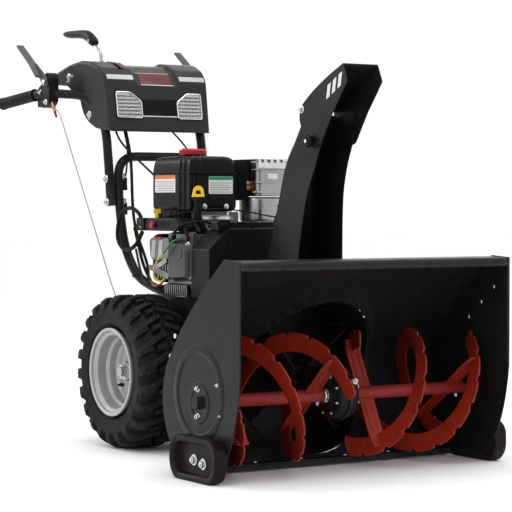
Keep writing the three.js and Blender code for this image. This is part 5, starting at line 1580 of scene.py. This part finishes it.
def upper_handle(side, sign):
    """An upper handle with its grip, lever bracket, cable and lever."""
    path = [(sign * x, y, z) for x, y, z in UPPER_RUN]
    Shape().tube(bent(path, 36, 8), TUBE, 28).piece(f"upper_handle_tube_{side}", PAINT, "frame",
                                                    [f"upper_handle_{side}"])
    start, end = Vector(path[-2]), Vector(path[-1])
    along = (end - start).normalized()
    first = start.lerp(end, 0.2)
    length = (end - first).length
    profile = [(13.1, 0), (17.2, 0), (18, 1), (18, 6), (17, 8), (16.4, 12)]
    for k in range(9):
        at = 20 + k * (length - 46) / 9
        profile += [(16.4, at), (16.9, at + 3), (16.9, at + 9), (16.4, at + 12)]
    profile += [(16.6, length - 24), (17.4, length - 16), (18, length - 12), (18, length - 6),
                (16, length - 2), (11, length - 0.4), (0, length)]
    profile = [(0, 0)] + [p for i, p in enumerate(profile) if i == 0 or p[1] >= profile[i - 1][1] - 1e-6]
    grip = Shape().turned_at(profile, first, along, 40)
    for v in grip.bm.verts:
        v.co.y = min(v.co.y, GRIP_END_Y)
    grip.piece(f"grip_sleeve_{side}", RUBBER, "frame", [f"grip_{side}"], bevel=0.3)

    refined(f"lever_bracket_{side}", PLASTIC, 2.2, 3)
    bolts = Shape()
    face = node_box(f"lever_bracket_{side}")
    outer = face[1].x if sign > 0 else face[0].x
    for y, z in ((1306, 962), (1272, 934)):
        bolts.bolt((outer, y, z), (sign, 0, 0), 10, 8, 5)
    bolts.piece(f"bracket_bolts_{side}", ZINC, "frame", bevel=0.4)
    run = [(sign * x, y, z) for x, y, z in CABLE_RUN]
    adjuster = Shape()
    top = Vector((sign * 238, 1256, 924))
    down = (Vector(run[2]) - Vector(run[1])).normalized()
    adjuster.turned_at([(0, -10), (4.6, -10), (4.6, 4), (6, 4), (6, 9), (4.2, 9), (4.2, 20), (0, 20)], top,
                       down, 18)
    adjuster.piece(f"cable_adjuster_{side}", BRASS, "frame", bevel=0.3)
    tip = Shape().turned_at([(0, 19.6), (3.8, 19.6), (3.2, 34), (2, 37), (0, 37)], top, down, 16)
    tip.piece(f"cable_boot_{side}", RED_TUBE, "frame")
    name = "auger" if side == "right" else "traction"
    cable = Shape().tube(bent(run, 30, 6), 1.8, 12)
    cable.turned_at([(0, 0), (4.2, 0), (4.2, 24), (3, 27), (0, 27)], (sign * 151, 1005, 330), (0, 0.03, -1),
                    16)
    cable.piece(f"{name}_cable_line", STEEL, "frame", [f"{name}_cable"])

    lever = refined(f"{name}_lever", HAMMER, 1.3, 3)
    for v in lever.data.vertices:
        v.co.x = sign * min(abs(v.co.x), LEVER_OUTER_X * MM)
    pivot = Shape().dome((outer + sign * 10.4, 1268, 990), (sign, 0, 0), 7.4, 3.4)
    pivot.piece(f"{name}_lever_pivot", ZINC, f"{name}_lever_body")


# ---------------------------------------------------------------- dash
DASH_REAR = [(1326, 1022), (1334, 1012), (1334, 996), (1326, 989), (1274, 984), (1243, 963), (1208, 945),
             (1196, 912), (1186, 894), (1164, 873), (1130, 856), (1085, 850)]
DASH_PROFILE = [(1055, 848), (1079, 990), (1088, 1007), (1110, 1026), (1156, 1044), (1204, 1050),
                (1264, 1041)] + DASH_REAR
DASH_CENTRE = [(1055, 848), (1077, 978), (1092, 995), (1112, 1014), (1156, 1034), (1204, 1042),
               (1264, 1035)] + DASH_REAR
FACE_SLOPE = 24 / 142
DASH_MIDDLE = (1185, 955)
NARROW, WIDE = 159, 196


def dash_half(y):
    """The dash's half width, which grows from front to back."""
    return NARROW + (WIDE - NARROW) * (y - 1040) / 305


def dash_row(share, profile, inset):
    """The dash's outline at a share of its half width."""
    corners = rounded(profile, 7, 3)
    row = []
    for y, z in corners:
        y = DASH_MIDDLE[0] + (y - DASH_MIDDLE[0]) * (1 - inset / 90)
        z = DASH_MIDDLE[1] + (z - DASH_MIDDLE[1]) * (1 - inset / 80)
        row.append((share * dash_half(y), y, z))
    return row


def lean(shape):
    """Stands a shape drawn about y = 0 against the sloping front face."""
    for v in shape.bm.verts:
        v.co.y += DASH_PROFILE[0][0] + (v.co.z - DASH_PROFILE[0][1]) * FACE_SLOPE
    return shape


def dash_top(y):
    """The height of the dash's top at a depth."""
    crest = DASH_PROFILE[2:7]
    for (y0, z0), (y1, z1) in zip(crest, crest[1:]):
        if y <= y1:
            return z0 + (y - y0) * (z1 - z0) / (y1 - y0)
    return crest[-1][1]


def dash():
    """The dash with its badge, window, lamps, bolts, lever slot and cords."""
    half = [(1.0, DASH_PROFILE, 9), (0.994, DASH_PROFILE, 4), (0.98, DASH_PROFILE, 1.2),
            (0.955, DASH_PROFILE, 0),
            (0.44, DASH_PROFILE, 0), (0.425, DASH_PROFILE, 0.4), (0.385, DASH_CENTRE, 0),
            (0.37, DASH_CENTRE, 0)]
    rows = [dash_row(-share, profile, inset) for share, profile, inset in half]
    rows += [dash_row(share, profile, inset) for share, profile, inset in reversed(half)]
    shell = Shape().loft(rows)
    shell.cut(Shape().box((-107, -93), (1108, 1240), (840, 1100)))
    shell.piece("dash_shell", DASH, "frame", ["dash_panel"], bevel=0.8, sharp=32)

    badge = Shape()
    badge.prism([(1078, 978), (1110, 1009), (1110, 1014), (1091, 997)], "x", (-50, 50))
    badge.piece("dash_badge", MAROON, "frame", bevel=0.8)
    rim = Shape()
    for z, y in ((979.4, 1077.2), (1013.6, 1112)):
        rim.tube([(-52, y, z), (52, y, z)], 1.2, 10)
    rim.piece("badge_rim", CHROME, "frame")

    hems = Shape()
    hems.tube([(-158, 1056, 848.6), (158, 1056, 848.6)], 1.8, 10)
    hems.piece("dash_hem", DASH, "frame")
    # Silver strips along the crest chamfers: painted highlight where light catches the edge
    highlight_strips = Shape()
    for sign in (1, -1):
        wide = dash_half(1085)
        highlight_strips.prism([(1080.2, 993), (1082, 992), (1089.4, 1005.4), (1088, 1006.6)], "x",
                    sorted((sign * 0.45 * wide, sign * 0.955 * wide)))
    highlight_strips.piece("dash_chamfer_painted_highlight", SILVER, "frame", bevel=0.5)

    panel_piece = lean(Shape().prism([(-57, 893), (57, 893), (57, 939), (-57, 939)], "y", (-1.4, 1)))
    panel_piece.piece("dash_window", TANK, "frame", bevel=1.0)
    edge = lean(Shape().prism([(-57, 889.4), (57, 889.4), (57, 892.4), (-57, 892.4)], "y", (-2.2, 1)))
    edge.piece("dash_window_edge", ZINC, "frame", bevel=0.4)

    for side, sign in SIDES:
        outline = rounded([(135, 887), (58, 887), (58, 932), (92, 957), (135, 957)], 6, 4)
        outline = [(sign * x, z) for x, z in outline]
        back = lean(Shape().prism(outline, "y", (-1.2, 0.6)))
        back.piece(f"lamp_mirror_{side}", ZINC, "frame")
        bars = Shape()
        for k in range(6):
            z = 896 + 10.2 * k
            inner = 61 if z < 932 else 61 + (z - 932) * 34 / 25
            bars.tube([(sign * inner, -7.4, z), (sign * 132, -7.4, z)], 1.5, 10)
        lean(bars).piece(f"lamp_louvres_{side}", CAST, "frame")
        ring = Shape()
        loop = [Vector((x, -3.6, z)) for x, z in outline]
        ring.tube(loop + [loop[0], loop[1]], 2.5, 12)
        lean(ring).piece(f"lamp_ring_{side}", CHROME, "frame")
        glass = lean(Shape().prism(outline, "y", (-6.6, -5.2)))
        glass.piece(f"lamp_glass_{side}", LENS, "frame", [f"headlight_{side}"], bevel=0.6)
        bezel = Shape()
        outer = [Vector((sign * (96.5 + (abs(x) - 96.5) * 1.06), -0.4, 918.5 + (z - 918.5) * 1.07))
                 for x, z in outline]
        bezel.tube(outer + [outer[0], outer[1]], 2.2, 10)
        lean(bezel).piece(f"lamp_bezel_{side}", PLASTIC, "frame")
        fixings = Shape()
        for y, z, size in ((1258, 1006, 12), (1159, 896, 12), (1262, 993, 5), (1242, 1008, 5),
                           (1157, 883, 4)):
            fixings.bolt((sign * (dash_half(y) - 1.4), y, z), (sign, -0.12, 0), size, size - 1, 5)
        fixings.piece(f"dash_bolts_{side}", ZINC, "frame", bevel=0.3)

    marks = Shape()
    for k in range(5):
        y = 1118 + 26 * k
        marks.box((-90, -82), (y, y + 5), (0.1, 0.8))
        marks.box((-80, -77), (y + 10, y + 12), (0.1, 0.8))
    for v in marks.bm.verts:
        v.co.z += dash_top(v.co.y)
    marks.piece("slot_marks", CAP_RED, "frame")
    gate = Shape()
    path = [Vector((x, y, dash_top(y) + 0.4)) for x, y in ((-109, 1107), (-91, 1107), (-91, 1200))]
    path += [Vector((x, y, dash_top(y) + 0.4)) for x, y in ((-91, 1241), (-109, 1241), (-109, 1200))]
    gate.tube(path + [path[0], path[1]], 1.6, 10)
    gate.piece("slot_rim", PLASTIC, "frame")

    cords = Shape()
    cords.tube(smooth_path([(-104, 1086, 862), (-104, 1062, 800), (-105, 1066, 740), (-105, 1073, 722)]),
               2.6, 10)
    cords.tube(smooth_path([(70, 1130, 862), (96, 1056, 780), (106, 1050, 660), (106, 1020, 540),
                            (100, 950, 440), (90, 880, 404)]), 2.6, 10)
    cords.tube(smooth_path([(-126, 1100, 862), (-120, 1060, 812), (-60, 1020, 740), (20, 940, 640),
                            (90, 840, 540), (96, 800, 480)]), 3.0, 10)
    cords.piece("dash_cords", RUBBER, "frame")


def speed_lever():
    """The speed lever through the dash."""
    x = -100
    rod = Shape().tube(bent([(x, 1212, 900), (x, 1224, 1050), (x, 1227, 1076), (x, 1264, 1100),
                             (x, 1285, 1112)], 16, 6),
                       5, 22)
    rod.lathe([(0, -118), (4, -118), (4, -82), (0, -82)], "x", (1212, 912), 18)
    rod.piece("speed_rod", STEEL, "speed_lever_body", bevel=0.3)
    club = Shape()
    stations = [(1258, 1106, 5, 7), (1263, 1108, 10, 12), (1272, 1112, 14, 14), (1286, 1120, 16, 13.4),
                (1304, 1129, 15.5, 12), (1330, 1136, 13, 11), (1360, 1139, 11.5, 11), (1400, 1141, 11, 13),
                (1430, 1143, 10, 14.4), (1443, 1144.5, 7, 12), (1449.6, 1145.6, 3.4, 6)]
    rows = []
    for y, z, high, wide in stations:
        rows.append([(x + wide * math.cos(t), y - high * 0.25 * math.sin(t), z + high * math.sin(t))
                     for t in (2 * math.pi * k / 28 for k in range(28))])
    club.loft(rows)
    club.piece("speed_club", PLASTIC, "speed_lever_body", ["speed_lever"], sharp=60)
    rivet = Shape().dome((x - 13.4, 1280, 1114), (-1, 0, 0), 4, 1.6)
    rivet.piece("speed_rivet", WHITE, "speed_lever_body")


def harness():
    """The wiring harness in its ribbed sleeve."""
    run = smooth_path([(-100, 1088, 870), (-98, 1054, 770), (-97, 1036, 600), (-97, 962, 480),
                       (-135, 880, 432), (-136, 800, 426), (-128, 752, 442)], 10)
    sleeve = [4.0 + 0.35 * (k % 2) for k in range(len(run))]
    loom = Shape().tube(run, sleeve, 14)
    loom.piece("harness_sleeve", RUBBER, "frame", ["wiring_harness"])


lower_handle()
for side, sign in SIDES:
    upper_handle(side, sign)
dash()
speed_lever()
harness()


# ---------------------------------------------------------------- floor, light and camera
def stage():
    """A pale floor."""
    bpy.ops.mesh.primitive_plane_add(size=60, location=(0, 0, 0))
    floor = bpy.context.object
    floor.name = "studio_floor"
    look = surface("studio_floor", "lens", (0.96, 0.96, 0.96), 0.7, mottle=0.01, grain=40,
                   grain_strength=0.02)
    floor.data.materials.append(look[0])


def lights():
    """A white studio with three soft panels."""
    scene = bpy.context.scene
    world = bpy.data.worlds.new("studio")
    scene.world = world
    world.use_nodes = True
    background = world.node_tree.nodes["Background"]
    background.inputs["Color"].default_value = (1.0, 1.0, 1.0, 1.0)
    background.inputs["Strength"].default_value = 1.04

    def panel(name, place, target, size, power):
        light = bpy.data.lights.new(name, "AREA")
        light.shape = "RECTANGLE"
        light.size, light.size_y = size
        light.energy = power
        obj = bpy.data.objects.new(name, light)
        scene.collection.objects.link(obj)
        obj.location = place
        obj.rotation_euler = (Vector(target) - Vector(place)).to_track_quat("-Z", "Y").to_euler()

    panel("key", (-3.4, -1.2, 3.2), (0, 0, 0.5), (1.8, 1.8), 16)
    panel("top", (0.2, -0.4, 3.6), (0, 0.1, 0.4), (2.4, 2.4), 45)
    panel("rim", (-2.2, 3.2, 2.4), (0, 0.2, 0.7), (1.4, 1.4), 30)


def camera():
    """A long lens low in front of the machine, on its right."""
    scene = bpy.context.scene
    lens = bpy.data.cameras.new("camera")
    lens.sensor_width = 36.0
    lens.lens = 138.9
    lens.clip_end = 100
    obj = bpy.data.objects.new("camera", lens)
    scene.collection.objects.link(obj)
    turn, dip = math.radians(32.15), math.radians(1.51)
    ahead = Vector((math.sin(turn) * math.cos(dip), math.cos(turn) * math.cos(dip), -math.sin(dip)))
    obj.location = (-2.7321, -4.5426, 0.6454)
    obj.rotation_euler = ahead.to_track_quat("-Z", "Y").to_euler()
    scene.camera = obj
    scene.view_settings.view_transform = "Standard"


stage()
lights()
camera()
